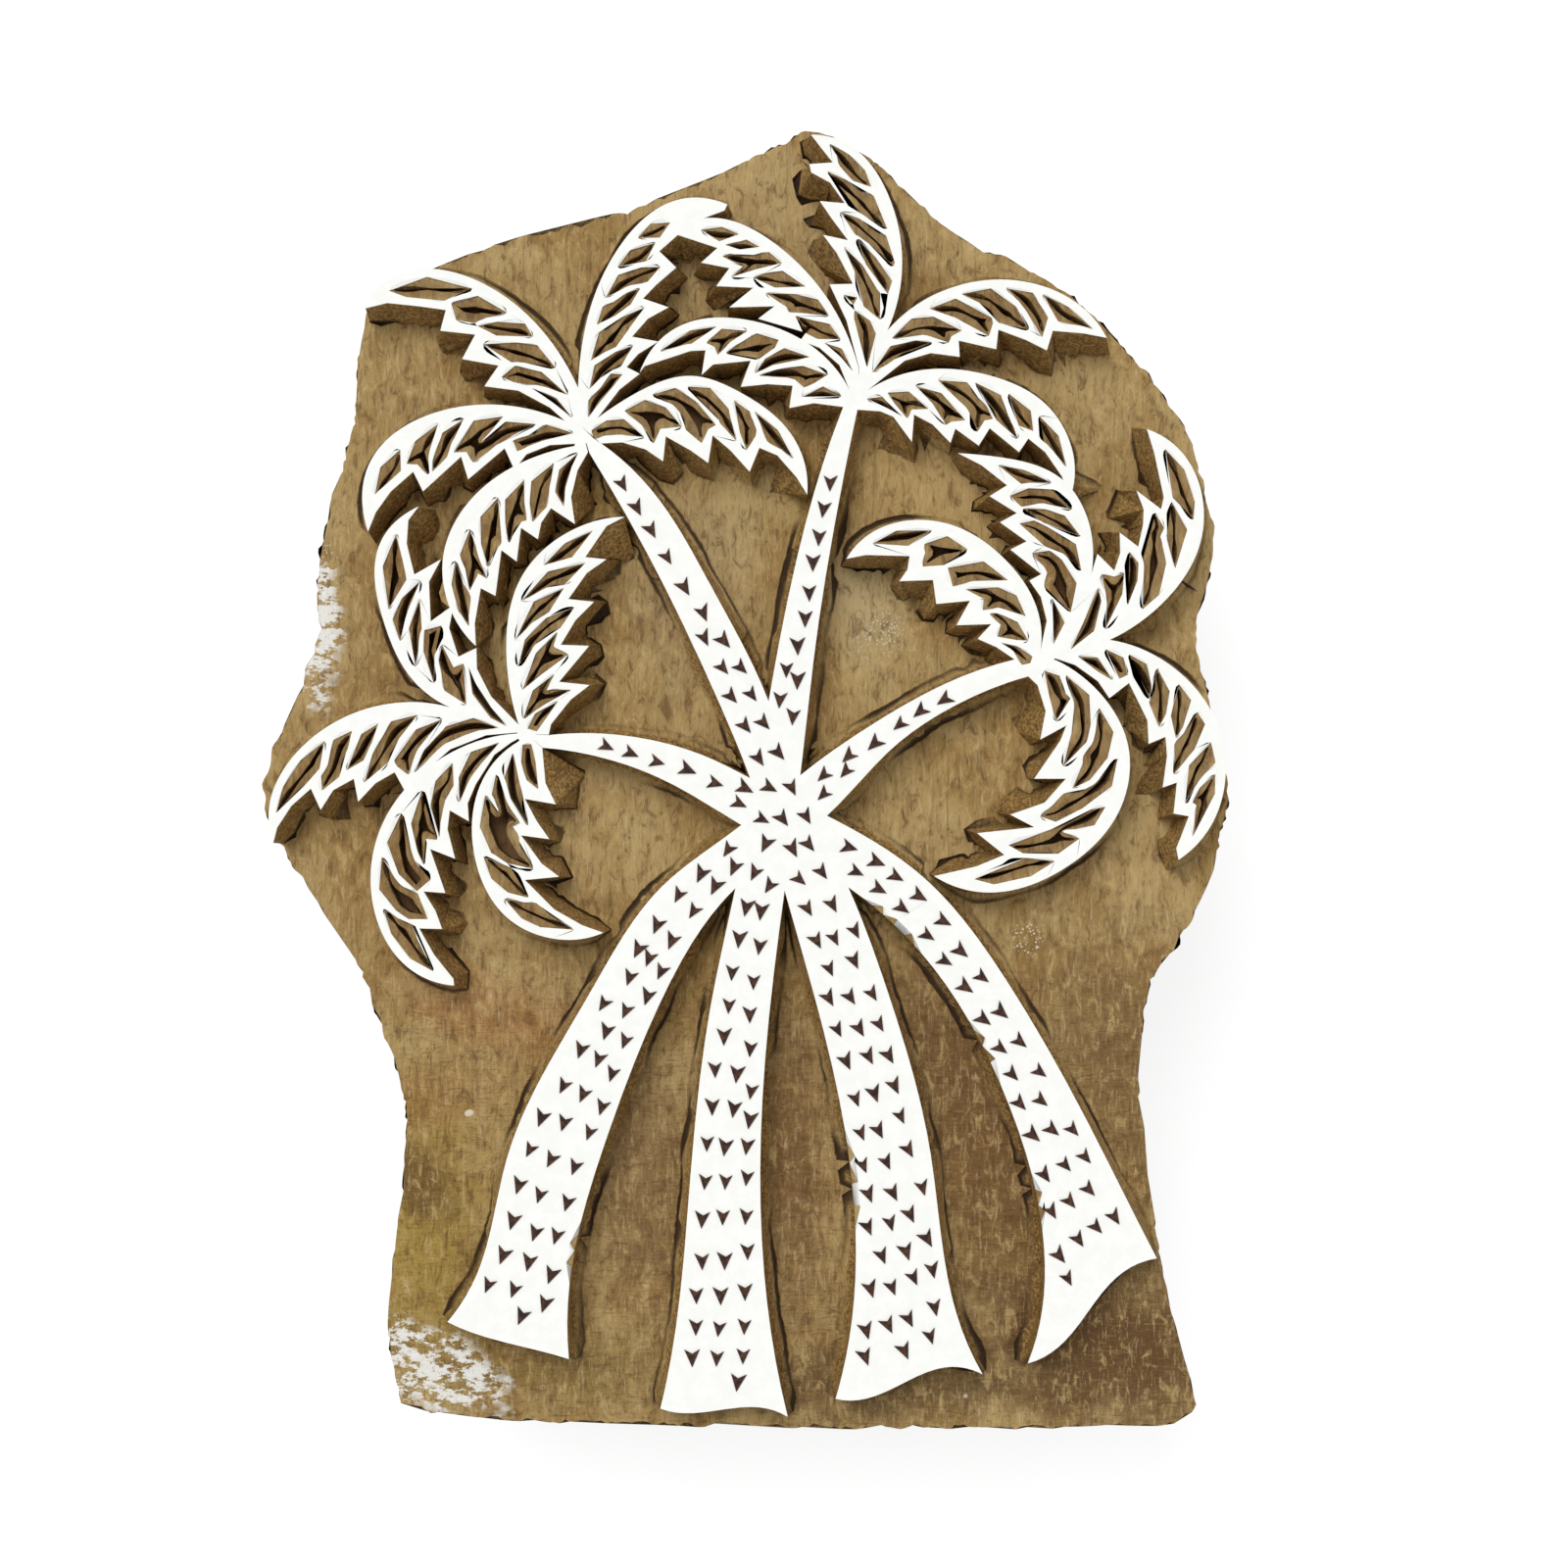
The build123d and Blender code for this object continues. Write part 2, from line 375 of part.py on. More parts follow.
with BuildSketch() as right_plan:
    with Locations(right):
        Circle(knot_radius)
    leaf(
        right,
        [(53.8, 21.8), (53.3, 31.6), (47.1, 40.6), (37.2, 46.6), (25.3, 46.1), (18.5, 40.2)],
        [(22, 40.9), (30.1, 40.7), (29.7, 38.2), (28.2, 36.1), (34.4, 36.3), (35, 31.9),
         (41.2, 32.5), (38.7, 28), (45.1, 28.2), (42.6, 25.5), (46, 24), (49.4, 21.7)],
    )
    leaf(
        right,
        [(57.3, 23.2), (63, 35), (63.3, 45.7), (58.2, 54.7), (47.7, 58.7), (39, 59.6)],
        [(43.3, 57.4), (48, 53.7), (44.8, 51.7), (49.8, 48.6), (46.7, 46.9), (51.6, 43.4),
         (48.6, 41.9), (54.3, 37.4), (52.1, 36.2), (54.2, 33.2), (55.3, 28.8), (53.8, 21.8)],
    )
    leaf(
        right,
        [(66.8, 25.3), (77.1, 32.6), (83.7, 44), (82.5, 56), (73.7, 64)],
        [(75, 59.8), (76.8, 51.5), (76.3, 49.3), (71.8, 52.7), (73.1, 49.3), (73, 46.5),
         (72.1, 42.4), (68.7, 45), (68.8, 41.3), (67.7, 38), (64.6, 41.1), (61.5, 30.8),
         (58.6, 26.3)],
    )
    leaf(
        right,
        [(66.8, 25.3), (78.6, 20.2), (86.3, 10.6), (88, -1), (79.5, -15.1)],
        [(79.1, -13), (81.4, -7.1), (78.6, -6.6), (79.2, -0.9), (76.6, -1.8), (77.4, 4),
         (77.1, 7.5), (74, 6.2), (73.8, 10.5), (70.4, 17.4), (66.8, 14.6), (64.7, 17.7),
         (60.5, 20.7), (56.9, 21.9)],
    )
    leaf(
        right,
        [(56.9, 21.6), (64.7, 15.9), (70.3, 5.5), (68.4, -6.5), (59.4, -16.1), (46.9, -21), (34.6, -18.1)],
        [(42.4, -16.3), (47.5, -14.2), (42.5, -10.2), (53, -9.1), (48.6, -6.8), (54.9, -4.6),
         (58.8, -0.2), (53, -0.2), (57.8, 6.8), (58.9, 9.6), (54.1, 7), (55.1, 12.2),
         (53.6, 17), (51.9, 18.6)],
    )

with BuildSketch() as right_slits:
    slits(
        [(34.2, 45.5), (27.7, 45), (23.2, 43.2), (29.7, 43.5)],
        [(40.6, 41.8), (36.9, 43.5), (32.6, 43.1), (34.1, 41.8), (32.4, 38.9), (36.3, 39.8)],
        [(48.2, 36.1), (43.5, 38.8), (37.1, 38.8), (38.2, 35.4), (42, 36.6)],
        [(51.4, 29.4), (49, 32.8), (46.2, 34.8), (40.4, 34.7), (44.8, 33.4), (43.7, 30.7), (46.7, 31.7)],
        [(52.1, 24.7), (49.7, 28.3), (46, 30.2), (44.7, 30.3), (48.2, 28.3), (46, 25.5), (50, 25.6)],
        [(52.5, 20.7), (49.8, 24), (46.8, 24.8), (49.2, 23.3)],
    )
    slits(
        [(56.2, 54.2), (51.3, 56.5), (46.5, 57.6), (50.8, 54.3)],
        [(59.7, 49.1), (56.1, 52.3), (52, 53.2), (48.6, 51.7), (50.6, 50), (54.9, 50.5)],
        [(61.5, 44.2), (58.3, 47.8), (55.2, 49.4), (51, 49.7), (54.5, 46.8)],
        [(61.6, 37.9), (60, 42.5), (56, 45.8), (53, 47.3), (50.3, 46.6), (55, 42.6), (58.5, 41.2)],
        [(59.7, 30.2), (60.2, 35.5), (58.2, 40), (55.9, 41.9), (52.7, 41.2), (56.3, 37.8), (55.2, 35.3)],
        [(56.4, 24.4), (58.2, 28.5), (56.4, 33.3)],
    )
    slits(
        [(77.2, 60.3), (80, 56.5), (82.3, 50.8), (82.3, 47.4), (78.8, 51.6)],
        [(78.3, 51), (80.2, 45.5), (78.7, 38.2), (78.2, 42), (77.3, 44.4)],
        [(75.1, 49), (77.2, 45.8), (75.7, 45), (77, 39.5), (75.3, 34), (72.9, 30.9), (73.2, 40)],
        [(70.5, 41.3), (72.2, 39.5), (71.9, 36), (70.1, 31.8)],
        [(65.4, 37.4), (68.1, 35.8), (69.8, 38), (69.2, 33.8), (65.8, 27.1), (66.6, 32)],
        [(65, 35), (65.3, 32.5), (63.6, 27.2), (59.7, 23.5), (62.5, 28)],
    )
    slits(
        [(60.8, 22.2), (64.7, 21.7), (67.8, 18), (64.7, 20.1)],
        [(65.8, 23.7), (69, 21.5), (70.4, 18.9), (68.5, 18.2)],
        [(70.2, 22.5), (73, 20.3), (74.6, 17), (74.4, 14.6)],
        [(75.5, 20.2), (77.5, 15.8), (77.2, 11.7), (76, 9.3), (75, 13.7)],
        [(79.5, 17.2), (80.9, 14), (80.5, 9.5), (79.2, 7), (78.1, 11.3)],
        [(82.8, 12), (83.4, 9.8), (82.4, 5.5), (78.4, 0.4), (79.1, 5.8)],
        [(85.3, 6.5), (85.4, 3), (83, -1), (80.6, -4.9), (81.5, 2.3)],
        [(86.3, 0.8), (86.2, -3), (82.3, -11.1), (83.7, -4.2), (82, -4.4), (83.2, -1.9)],
    )
    slits(
        [(54.8, 19.7), (57.2, 18.3), (58.4, 14.7), (60, 14.6), (57, 10.2), (56.9, 15)],
        [(58.8, 18.9), (62.3, 14.7), (63.4, 9.9), (62.8, 6.5), (58.4, 1.9), (60.9, 8), (60.9, 13)],
        [(64.9, 12.8), (66.6, 8.3), (66, 3.8), (63.3, -0.4), (59.9, -2.5), (62.8, 3), (62, 4.2), (64, 6.6)],
        [(68.2, 3.6), (66.5, -1), (61.5, -5.6), (57, -7.9), (54.1, -7.1), (58.8, -3.6), (64.5, -1.2)],
        [(66, -5.2), (63.6, -8), (56, -10.3), (63.6, -6.2)],
        [(61.3, -11.1), (57.2, -13.2), (51, -13.9), (48.2, -12.6), (57, -9.9)],
        [(56.7, -15.3), (52.3, -17.4), (45.6, -19), (41.9, -18.5), (51.5, -14.7)],
    )

# One block of wood: the slab, and the design left standing when its ground was cut away
with BuildPart() as block_body:
    with BuildSketch(Plane.XY.offset(back_z)):
        add(slab_plan.sketch)
    extrude(amount=slab_thickness)
    with BuildSketch(Plane.XY.offset(ground_z)):
        add(upper_left_plan.sketch)
        add(upper_right_plan.sketch)
        add(left_plan.sketch)
        add(right_plan.sketch)
    extrude(amount=wood_top_z - ground_z)
    for trunk_plan in (upper_left_trunk, upper_right_trunk, left_trunk, right_trunk):
        with BuildSketch(Plane.XY.offset(wood_top_z)):
            add(trunk_plan.sketch)
        extrude(amount=ground_z - wood_top_z)
    with BuildSketch(Plane.XY.offset(wood_top_z)):
        add(upper_left_slits.sketch)
        add(upper_right_slits.sketch)
        add(left_slits.sketch)
        add(right_slits.sketch)
    extrude(amount=-slit_depth, mode=Mode.SUBTRACT)
    with BuildSketch(Plane.XY.offset(back_z)):
        add(slab_plan.sketch)
    extrude(amount=wood_top_z - back_z, mode=Mode.INTERSECT)
    with Locations(Plane.XY.offset(back_z)):
        with Locations((0, -screw_spacing / 2), (0, screw_spacing / 2)):
            Cylinder(screw_shank_radius, screw_bite, align=upward, mode=Mode.SUBTRACT)
block_body.part.label = "block_body"

# Chalk white coat: first the crossing trunks, then each crown up to what is already coated
with BuildPart() as printing_face_trunks:
    with BuildSketch(Plane.XY.offset(wood_top_z)):
        add(upper_left_trunk.sketch)
        add(upper_right_trunk.sketch)
        add(left_trunk.sketch)
        add(right_trunk.sketch)
        add(upper_left_slits.sketch, mode=Mode.SUBTRACT)
        add(upper_right_slits.sketch, mode=Mode.SUBTRACT)
        add(left_slits.sketch, mode=Mode.SUBTRACT)
        add(right_slits.sketch, mode=Mode.SUBTRACT)
    extrude(amount=coat_thickness)
printing_face_trunks.part.label = "printing_face_trunks"

with BuildPart() as printing_face_crown_upper_left:
    with BuildSketch(Plane.XY.offset(wood_top_z)):
        add(upper_left_plan.sketch)
        add(slab_plan.sketch, mode=Mode.INTERSECT)
        add(upper_left_slits.sketch, mode=Mode.SUBTRACT)
        add(upper_right_slits.sketch, mode=Mode.SUBTRACT)
        add(left_slits.sketch, mode=Mode.SUBTRACT)
    extrude(amount=coat_thickness)
    add(printing_face_trunks.part, mode=Mode.SUBTRACT)
printing_face_crown_upper_left.part.label = "printing_face_crown_upper_left"

with BuildPart() as printing_face_crown_upper_right:
    with BuildSketch(Plane.XY.offset(wood_top_z)):
        add(upper_right_plan.sketch)
        add(slab_plan.sketch, mode=Mode.INTERSECT)
        add(upper_right_slits.sketch, mode=Mode.SUBTRACT)
        add(upper_left_slits.sketch, mode=Mode.SUBTRACT)
        add(right_slits.sketch, mode=Mode.SUBTRACT)
    extrude(amount=coat_thickness)
    add(printing_face_trunks.part, mode=Mode.SUBTRACT)
    add(printing_face_crown_upper_left.part, mode=Mode.SUBTRACT)
printing_face_crown_upper_right.part.label = "printing_face_crown_upper_right"

with BuildPart() as printing_face_crown_left:
    with BuildSketch(Plane.XY.offset(wood_top_z)):
        add(left_plan.sketch)
        add(slab_plan.sketch, mode=Mode.INTERSECT)
        add(left_slits.sketch, mode=Mode.SUBTRACT)
        add(upper_left_slits.sketch, mode=Mode.SUBTRACT)
    extrude(amount=coat_thickness)
    add(printing_face_trunks.part, mode=Mode.SUBTRACT)
    add(printing_face_crown_upper_left.part, mode=Mode.SUBTRACT)
printing_face_crown_left.part.label = "printing_face_crown_left"

with BuildPart() as printing_face_crown_right:
    with BuildSketch(Plane.XY.offset(wood_top_z)):
        add(right_plan.sketch)
        add(slab_plan.sketch, mode=Mode.INTERSECT)
        add(right_slits.sketch, mode=Mode.SUBTRACT)
        add(upper_right_slits.sketch, mode=Mode.SUBTRACT)
    extrude(amount=coat_thickness)
    add(printing_face_trunks.part, mode=Mode.SUBTRACT)
    add(printing_face_crown_upper_right.part, mode=Mode.SUBTRACT)
printing_face_crown_right.part.label = "printing_face_crown_right"

# Hardwood bar across the back, undercut along both flanks for the fingers
with BuildPart() as handle:
    with BuildSketch(Plane.XZ):
        with BuildLine():
            face = Line((0, 0), (handle_face_width / 2, 0))
            flank = Spline(
                face @ 1,
                (handle_end_width / 2, handle_lip_height),
                (handle_neck_width / 2, handle_neck_height),
                (handle_root_width / 2, handle_height),
            )
            Line(flank @ 1, (0, handle_height))
            mirror(about=Plane.YZ)
        make_face()
    extrude(amount=handle_length / 2, both=True)
    with BuildSketch():
        with BuildLine():
            end = Spline(
                (0, handle_length / 2),
                (handle_end_width / 2, handle_length / 2 - handle_end_round),
                tangents=((1, 0), (0, -1)),
            )
            Spline(end @ 1, (handle_mid_width / 2, 0), tangents=((0, -1), (0, -1)))
            mirror(about=Plane.XZ)
            mirror(about=Plane.YZ)
        make_face()
    extrude(amount=handle_height, mode=Mode.INTERSECT)
    with Locations((0, -screw_spacing / 2, screw_sink), (0, screw_spacing / 2, screw_sink)):
        Cone(screw_head_radius, screw_shank_radius, screw_head_depth, align=upward, mode=Mode.SUBTRACT)
    with Locations((0, -screw_spacing / 2, 0), (0, screw_spacing / 2, 0)):
        Cylinder(screw_head_radius, screw_sink, align=upward, mode=Mode.SUBTRACT)
        Cylinder(screw_shank_radius, handle_height, align=upward, mode=Mode.SUBTRACT)
handle.part.label = "handle"

# Countersunk screw, seated just below the handle's face, with a slot across its head
with BuildPart() as screw:
    with BuildSketch(Plane.XZ):
        with BuildLine():
            Polyline(
                (0, screw_sink),
                (screw_head_radius, screw_sink),
                (screw_shank_radius, screw_sink + screw_head_depth),
                (screw_shank_radius, screw_sink + screw_length - screw_point_length),
                (0, screw_sink + screw_length),
                close=True,
            )
        make_face()
    revolve(axis=Axis.Z)
    with Locations((0, 0, screw_sink)):
        Box(2 * screw_head_radius, screw_slot_width, screw_slot_depth, align=upward, mode=Mode.SUBTRACT)

with BuildPart() as handle_screws:
    with Locations((0, -screw_spacing / 2, 0), (0, screw_spacing / 2, 0)):
        add(screw.part)
handle_screws.part.label = "handle_screws"

pieces = (
    block_body,
    printing_face_trunks,
    printing_face_crown_upper_left,
    printing_face_crown_upper_right,
    printing_face_crown_left,
    printing_face_crown_right,
    handle,
    handle_screws,
)
os.makedirs("parts", exist_ok=True)
for piece in pieces:
    export_step(piece.part, f"parts/{piece.part.label}.step")
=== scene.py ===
import math
import random

import bmesh
import bpy
from mathutils import Matrix, Vector, noise
from mathutils.bvhtree import BVHTree
from mathutils.geometry import intersect_line_line_2d
from mathutils.kdtree import KDTree


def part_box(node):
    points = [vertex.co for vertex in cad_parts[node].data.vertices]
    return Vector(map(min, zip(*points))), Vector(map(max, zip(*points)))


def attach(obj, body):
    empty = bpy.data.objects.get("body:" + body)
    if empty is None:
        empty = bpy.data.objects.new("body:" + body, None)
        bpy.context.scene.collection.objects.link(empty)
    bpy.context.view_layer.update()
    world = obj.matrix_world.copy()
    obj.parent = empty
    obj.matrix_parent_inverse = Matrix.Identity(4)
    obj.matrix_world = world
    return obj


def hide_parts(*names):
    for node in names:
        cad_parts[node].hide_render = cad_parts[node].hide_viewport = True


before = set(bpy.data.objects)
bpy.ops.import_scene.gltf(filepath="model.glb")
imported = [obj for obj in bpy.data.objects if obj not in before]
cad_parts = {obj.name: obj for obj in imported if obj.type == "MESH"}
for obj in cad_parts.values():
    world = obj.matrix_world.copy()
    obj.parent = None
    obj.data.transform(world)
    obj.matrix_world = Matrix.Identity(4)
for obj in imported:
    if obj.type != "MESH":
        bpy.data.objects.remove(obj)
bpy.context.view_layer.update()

wood_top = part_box("block_body")[1].z
coat_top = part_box("printing_face_trunks")[1].z
ground = 0.052
slab_back = 0.028

# Camera
# It looks straight down at the print face from about 400 mm above it, a little to the right of
# the block's middle, as the photograph does, with the top of the design up.
camera = bpy.data.objects.new("camera", bpy.data.cameras.new("camera"))
camera.location = (0.00702, -0.00117, 0.460)
camera.data.sensor_width = 36
camera.data.lens = 50
camera.data.clip_start = 0.02
bpy.context.scene.collection.objects.link(camera)
bpy.context.scene.camera = camera

# Block
# One thick plank of tight-grained hardwood, sawn out by eye. The ground is chopped away from
# around the trunks and leaves with chisels, which leave leaning walls, ramps between the teeth
# and a stop cut along each foot, its crease darkened with painted shade.


class Paint:
    """A socket of a material, on which sums are written as plain Python."""

    def __init__(self, tree, socket=None):
        self.tree = tree
        self.socket = socket

    def node(self, kind, settings=None, inputs=None, output=0):
        """Adds a node of this type: its settings first, then values or links for its sockets."""
        made = self.tree.nodes.new(kind)
        for name, value in (settings or {}).items():
            if name == "stops":
                ramp = made.color_ramp
                while len(ramp.elements) < len(value):
                    ramp.elements.new(0.5)
                for element, (place, colour) in zip(ramp.elements, value):
                    element.position = place
                    element.color = colour
            else:
                setattr(made, name, value)
        for name, value in (inputs or {}).items():
            if isinstance(value, Paint):
                self.tree.links.new(value.socket, made.inputs[name])
            else:
                made.inputs[name].default_value = value
        return Paint(self.tree, made.outputs[output])

    def math(self, operation, other=0.0, clamp=False):
        """This value and another through one Math node."""
        return self.node("ShaderNodeMath", {"operation": operation, "use_clamp": clamp}, {0: self, 1: other})

    def __add__(self, other):
        return self.math("ADD", other)

    __radd__ = __add__

    def __mul__(self, other):
        return self.math("MULTIPLY", other)

    __rmul__ = __mul__

    def __sub__(self, other):
        return self.math("SUBTRACT", other)

    def __rsub__(self, other):
        return (self * -1.0) + other

    def clip(self):
        """This value held between 0 and 1."""
        return self.math("ADD", 0.0, True)

    def rise(self, low, high, to_low=0.0, to_high=1.0):
        """A smooth step from to_low to to_high as this value goes from low to high."""
        settings = {"interpolation_type": "SMOOTHSTEP"}
        steps = {"Value": self, "From Min": low, "From Max": high, "To Min": to_low, "To Max": to_high}
        return self.node("ShaderNodeMapRange", settings, steps)

    def into(self, shader, name):
        """Feeds this into a shader's socket."""
        self.tree.links.new(self.socket, shader.inputs[name])


def tone(red, green, blue):
    """A colour read off as 0 to 255 becomes the linear colour that a shader takes."""
    levels = [part / 255 for part in (red, green, blue)]
    return (*[v / 12.92 if v <= 0.04045 else ((v + 0.055) / 1.055) ** 2.4 for v in levels], 1.0)


def finish_named(name):
    """A new material: its shader, and a start for its paint."""
    material = bpy.data.materials.new(name)
    material.use_nodes = True
    return material, material.node_tree.nodes["Principled BSDF"], Paint(material.node_tree)


def blended(paint, share, below, above):
    """The colour above laid over the one below by share."""
    return paint.node("ShaderNodeMix", {"data_type": "RGBA"}, {0: share, 6: below, 7: above}, 2)


def stretched(paint, x, y, z, move=(0, 0, 0), turn=0.0):
    """The piece's own place in millimetres, stretched along each axis for a pattern."""
    place = paint.node("ShaderNodeTexCoord", output=3)
    inputs = {"Vector": place, "Location": move, "Rotation": (0, 0, turn), "Scale": (1e3 * x, 1e3 * y, 1e3 * z)}
    return paint.node("ShaderNodeMapping", {"vector_type": "POINT"}, inputs)


def cloud(paint, vector, detail=2.0, rough=0.55, scale=1.0, twist=0.0):
    """Noise around 0.5."""
    inputs = {"Vector": vector, "Scale": scale, "Detail": detail, "Roughness": rough, "Distortion": twist}
    return paint.node("ShaderNodeTexNoise", {}, inputs)


def spot(paint, x, y, wide, high, turn=0.0, soft=1.0, ragged=0.0):
    """A soft oval mask centred at x, y in millimetres: 1 in its middle, 0 outside."""
    place = paint.node("ShaderNodeTexCoord", output=3)
    inputs = {
        "Vector": place, "Location": (x / 1e3, y / 1e3, 0.056),
        "Rotation": (0, 0, math.radians(turn)), "Scale": (wide / 1e3, high / 1e3, 1),
    }
    local = paint.node("ShaderNodeMapping", {"vector_type": "TEXTURE"}, inputs)
    far = paint.node("ShaderNodeVectorMath", {"operation": "LENGTH"}, {0: local}, 1)
    if ragged:
        far = far + (cloud(paint, stretched(paint, 0.16, 0.16, 0.16), 4, 0.65) - 0.5) * ragged
    return far.rise(1.0, 1.0 - soft)


def whole(bm, name, material, stands_for, flat=True):
    """Writes the bmesh out as a finished piece in place of a CAD node."""
    mesh = bpy.data.meshes.new(name)
    bm.to_mesh(mesh)
    bm.free()
    mesh.materials.append(material)
    if not flat:
        mesh.shade_smooth()
    piece = bpy.data.objects.new(name, mesh)
    bpy.context.scene.collection.objects.link(piece)
    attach(piece, "root")
    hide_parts(stands_for)
    return piece


block = bmesh.new()
block.from_mesh(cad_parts["block_body"].data)
bmesh.ops.remove_doubles(block, verts=block.verts, dist=2e-6)
still = BVHTree.FromBMesh(block)
stop_cut = block.verts.layers.float.new("stop_cut")
slit_depth = block.verts.layers.float.new("slit_depth")


def level(vert, height):
    return abs(vert.co.z - height) < 5e-5


def shortened(bm, chosen, longest):
    """Divides the edges that pass the test until none is longer than this."""
    while True:
        edges = [e for e in bm.edges if e.calc_length() > longest and chosen(e)]
        if not edges:
            return
        bmesh.ops.subdivide_edges(bm, edges=edges, cuts=1)


def at_foot(edge):
    """An edge where a wall of the relief, or the slab's side, meets the ground."""
    ends_level = level(edge.verts[0], ground) and level(edge.verts[1], ground)
    return ends_level and sum(f.normal.z > 0.99 for f in edge.link_faces) == 1


def side_rim(edge):
    """A long edge round the slab's back or at the top of its side."""
    if level(edge.verts[0], slab_back) and level(edge.verts[1], slab_back):
        return abs(edge.verts[0].co.x) > 0.03 or abs(edge.verts[0].co.y) > 0.05
    return False


shortened(block, at_foot, 0.0014)
shortened(block, side_rim, 0.004)
bmesh.ops.delete(
    block, geom=[f for f in block.faces if f.normal.z > 0.99 and all(level(v, ground) for v in f.verts)],
    context="FACES",
)
rim_edges = [e for e in block.edges if e.is_boundary]
slab_rim = {v for e in rim_edges if min(v.co.z for v in e.link_faces[0].verts) < ground - 1e-4 for v in e.verts}
feet = [e for e in rim_edges if min(v.co.z for v in e.link_faces[0].verts) > ground - 1e-4]


def away(vert, edges):
    """Which way the open ground lies from a foot, how wide it is there, and how sharp its corner."""
    ahead = [(e.other_vert(vert).co - vert.co).normalized() for e in vert.link_edges if e in edges]
    walls = [e.link_faces[0].normal for e in vert.link_edges if e in edges]
    sides = [way.cross((0, 0, 1)) for way in ahead]
    sides = [side if side.dot(wall) > 0 else -side for side, wall in zip(sides, walls)]
    out = sum(sides, Vector()).normalized()
    inside = len(sides) == 2 and sides[0].dot(ahead[1]) > 0.35
    spread = max(0.16, sides[0].dot(out)) if sides else 1.0
    start = vert.co + out * 4e-5 + Vector((0, 0, 0.0035))
    hit = still.ray_cast(start, out, 0.03)[3]
    return out, (hit or 0.03), inside, spread


def leaned(edges):
    """How far each foot moves: walls lean out, and long ramps fill the corners between teeth."""
    edge_set = set(edges)
    looks = {v: away(v, edge_set) for v in {v for e in edges for v in e.verts} - slab_rim}
    corners = [(v.co.copy(), look[0], min(0.0056, 0.42 * look[1])) for v, look in looks.items() if look[2]]
    tree = KDTree(len(corners))
    for number, (spot_at, out, far) in enumerate(corners):
        tree.insert(spot_at, number)
    tree.balance()
    moves = {tuple(v.co): (Vector(), Vector()) for v in slab_rim}
    for vert, (out, gap, inside, spread) in looks.items():
        rough = 1 + 0.4 * noise.noise(vert.co * 130) + 0.12 * noise.noise(vert.co * 900)
        lean = out * min(0.0019 * rough, 0.36 * gap)
        for spot_at, number, off in tree.find_range(vert.co, 0.0062):
            ahead, far = corners[number][1:]
            if (vert.co - spot_at).dot(ahead) > -1e-4:
                lean += ahead * far * (1 - off / 0.0062) * (0.85 + 0.3 * noise.noise(vert.co * 700))
                break
        moves[tuple(vert.co)] = (lean, out * min(0.0003, 0.12 * gap))
    return moves


def tangled(edges):
    """The vertices of the edges that cross another one, seen from above."""
    tree = KDTree(len(edges))
    for number, edge in enumerate(edges):
        tree.insert(((edge.verts[0].co + edge.verts[1].co) / 2).xy.to_3d(), number)
    tree.balance()
    caught = set()
    for number, edge in enumerate(edges):
        a, b = (v.co.xy for v in edge.verts)
        for place, other, gap in tree.find_range(((a + b) / 2).to_3d(), 0.003):
            if other > number and not set(edges[other].verts) & set(edge.verts):
                c, d = (v.co.xy for v in edges[other].verts)
                if intersect_line_line_2d(a, b, c, d):
                    caught.update((*edge.verts, *edges[other].verts))
    return caught


moves = leaned(feet)
ring = {v for v in bmesh.ops.extrude_edge_only(block, edges=feet)["geom"] if isinstance(v, bmesh.types.BMVert)}
start = {outer: outer.co.copy() for outer in ring}
reach = {outer: 1.0 for outer in ring}
inner = {v: [e.other_vert(v) for e in v.link_edges if e.calc_length() < 1e-8][0] for v in ring}
ground_rim = [e for e in block.edges if e.is_boundary]
for turn in range(14):
    for outer in ring:
        lean, brink = moves[tuple(start[outer])]
        outer.co = start[outer] + (lean + brink) * reach[outer]
    crossed = tangled(ground_rim) & ring
    if not crossed:
        break
    for outer in crossed:
        reach[outer] *= 0.62
for outer in ring:
    lean, brink = moves[tuple(start[outer])]
    crisp = min(1.0, max(0.0, 0.6 + 1.4 * noise.noise(start[outer] * 60)))
    inner[outer].co += lean * reach[outer]
    # Marks the stop cut for its painted shade, and sinks it a little.
    if brink.length > 0:
        inner[outer][stop_cut] = crisp
        inner[outer].co.z -= 0.0006 * crisp * reach[outer]
bmesh.ops.remove_doubles(block, verts=[v for v in block.verts if abs(v.co.z - ground) < 0.0007], dist=4e-6)
ground_rim = [e for e in block.edges if e.is_boundary]
filled = bmesh.ops.triangle_fill(block, edges=ground_rim, use_beauty=False, normal=(0, 0, 1))["geom"]
bmesh.ops.beautify_fill(
    block, faces=[g for g in filled if isinstance(g, bmesh.types.BMFace)],
    edges=[g for g in filled if isinstance(g, bmesh.types.BMEdge)],
)

for height in (0.034, 0.040, 0.046):
    cut = [g for g in [*block.verts, *block.edges, *block.faces]]
    bmesh.ops.bisect_plane(block, geom=cut, dist=1e-6, plane_co=(0, 0, height), plane_no=(0, 0, 1))
for vert in block.verts:
    if vert.co.z < ground + 1e-4 and vert.co.xy.length > 0.05 and not level(vert, slab_back + 0.0):
        if any(abs(f.normal.z) < 0.3 and f.calc_center_median().z < ground for f in vert.link_faces):
            out = Vector(vert.co.xy.normalized()[:] + (0,))
            ridge = Vector((vert.co.x, vert.co.y, 0.1 * vert.co.z))
            vert.co += out * 0.0008 * (noise.noise(ridge * 330) + 0.7 * noise.noise(ridge * 900) - 0.35)

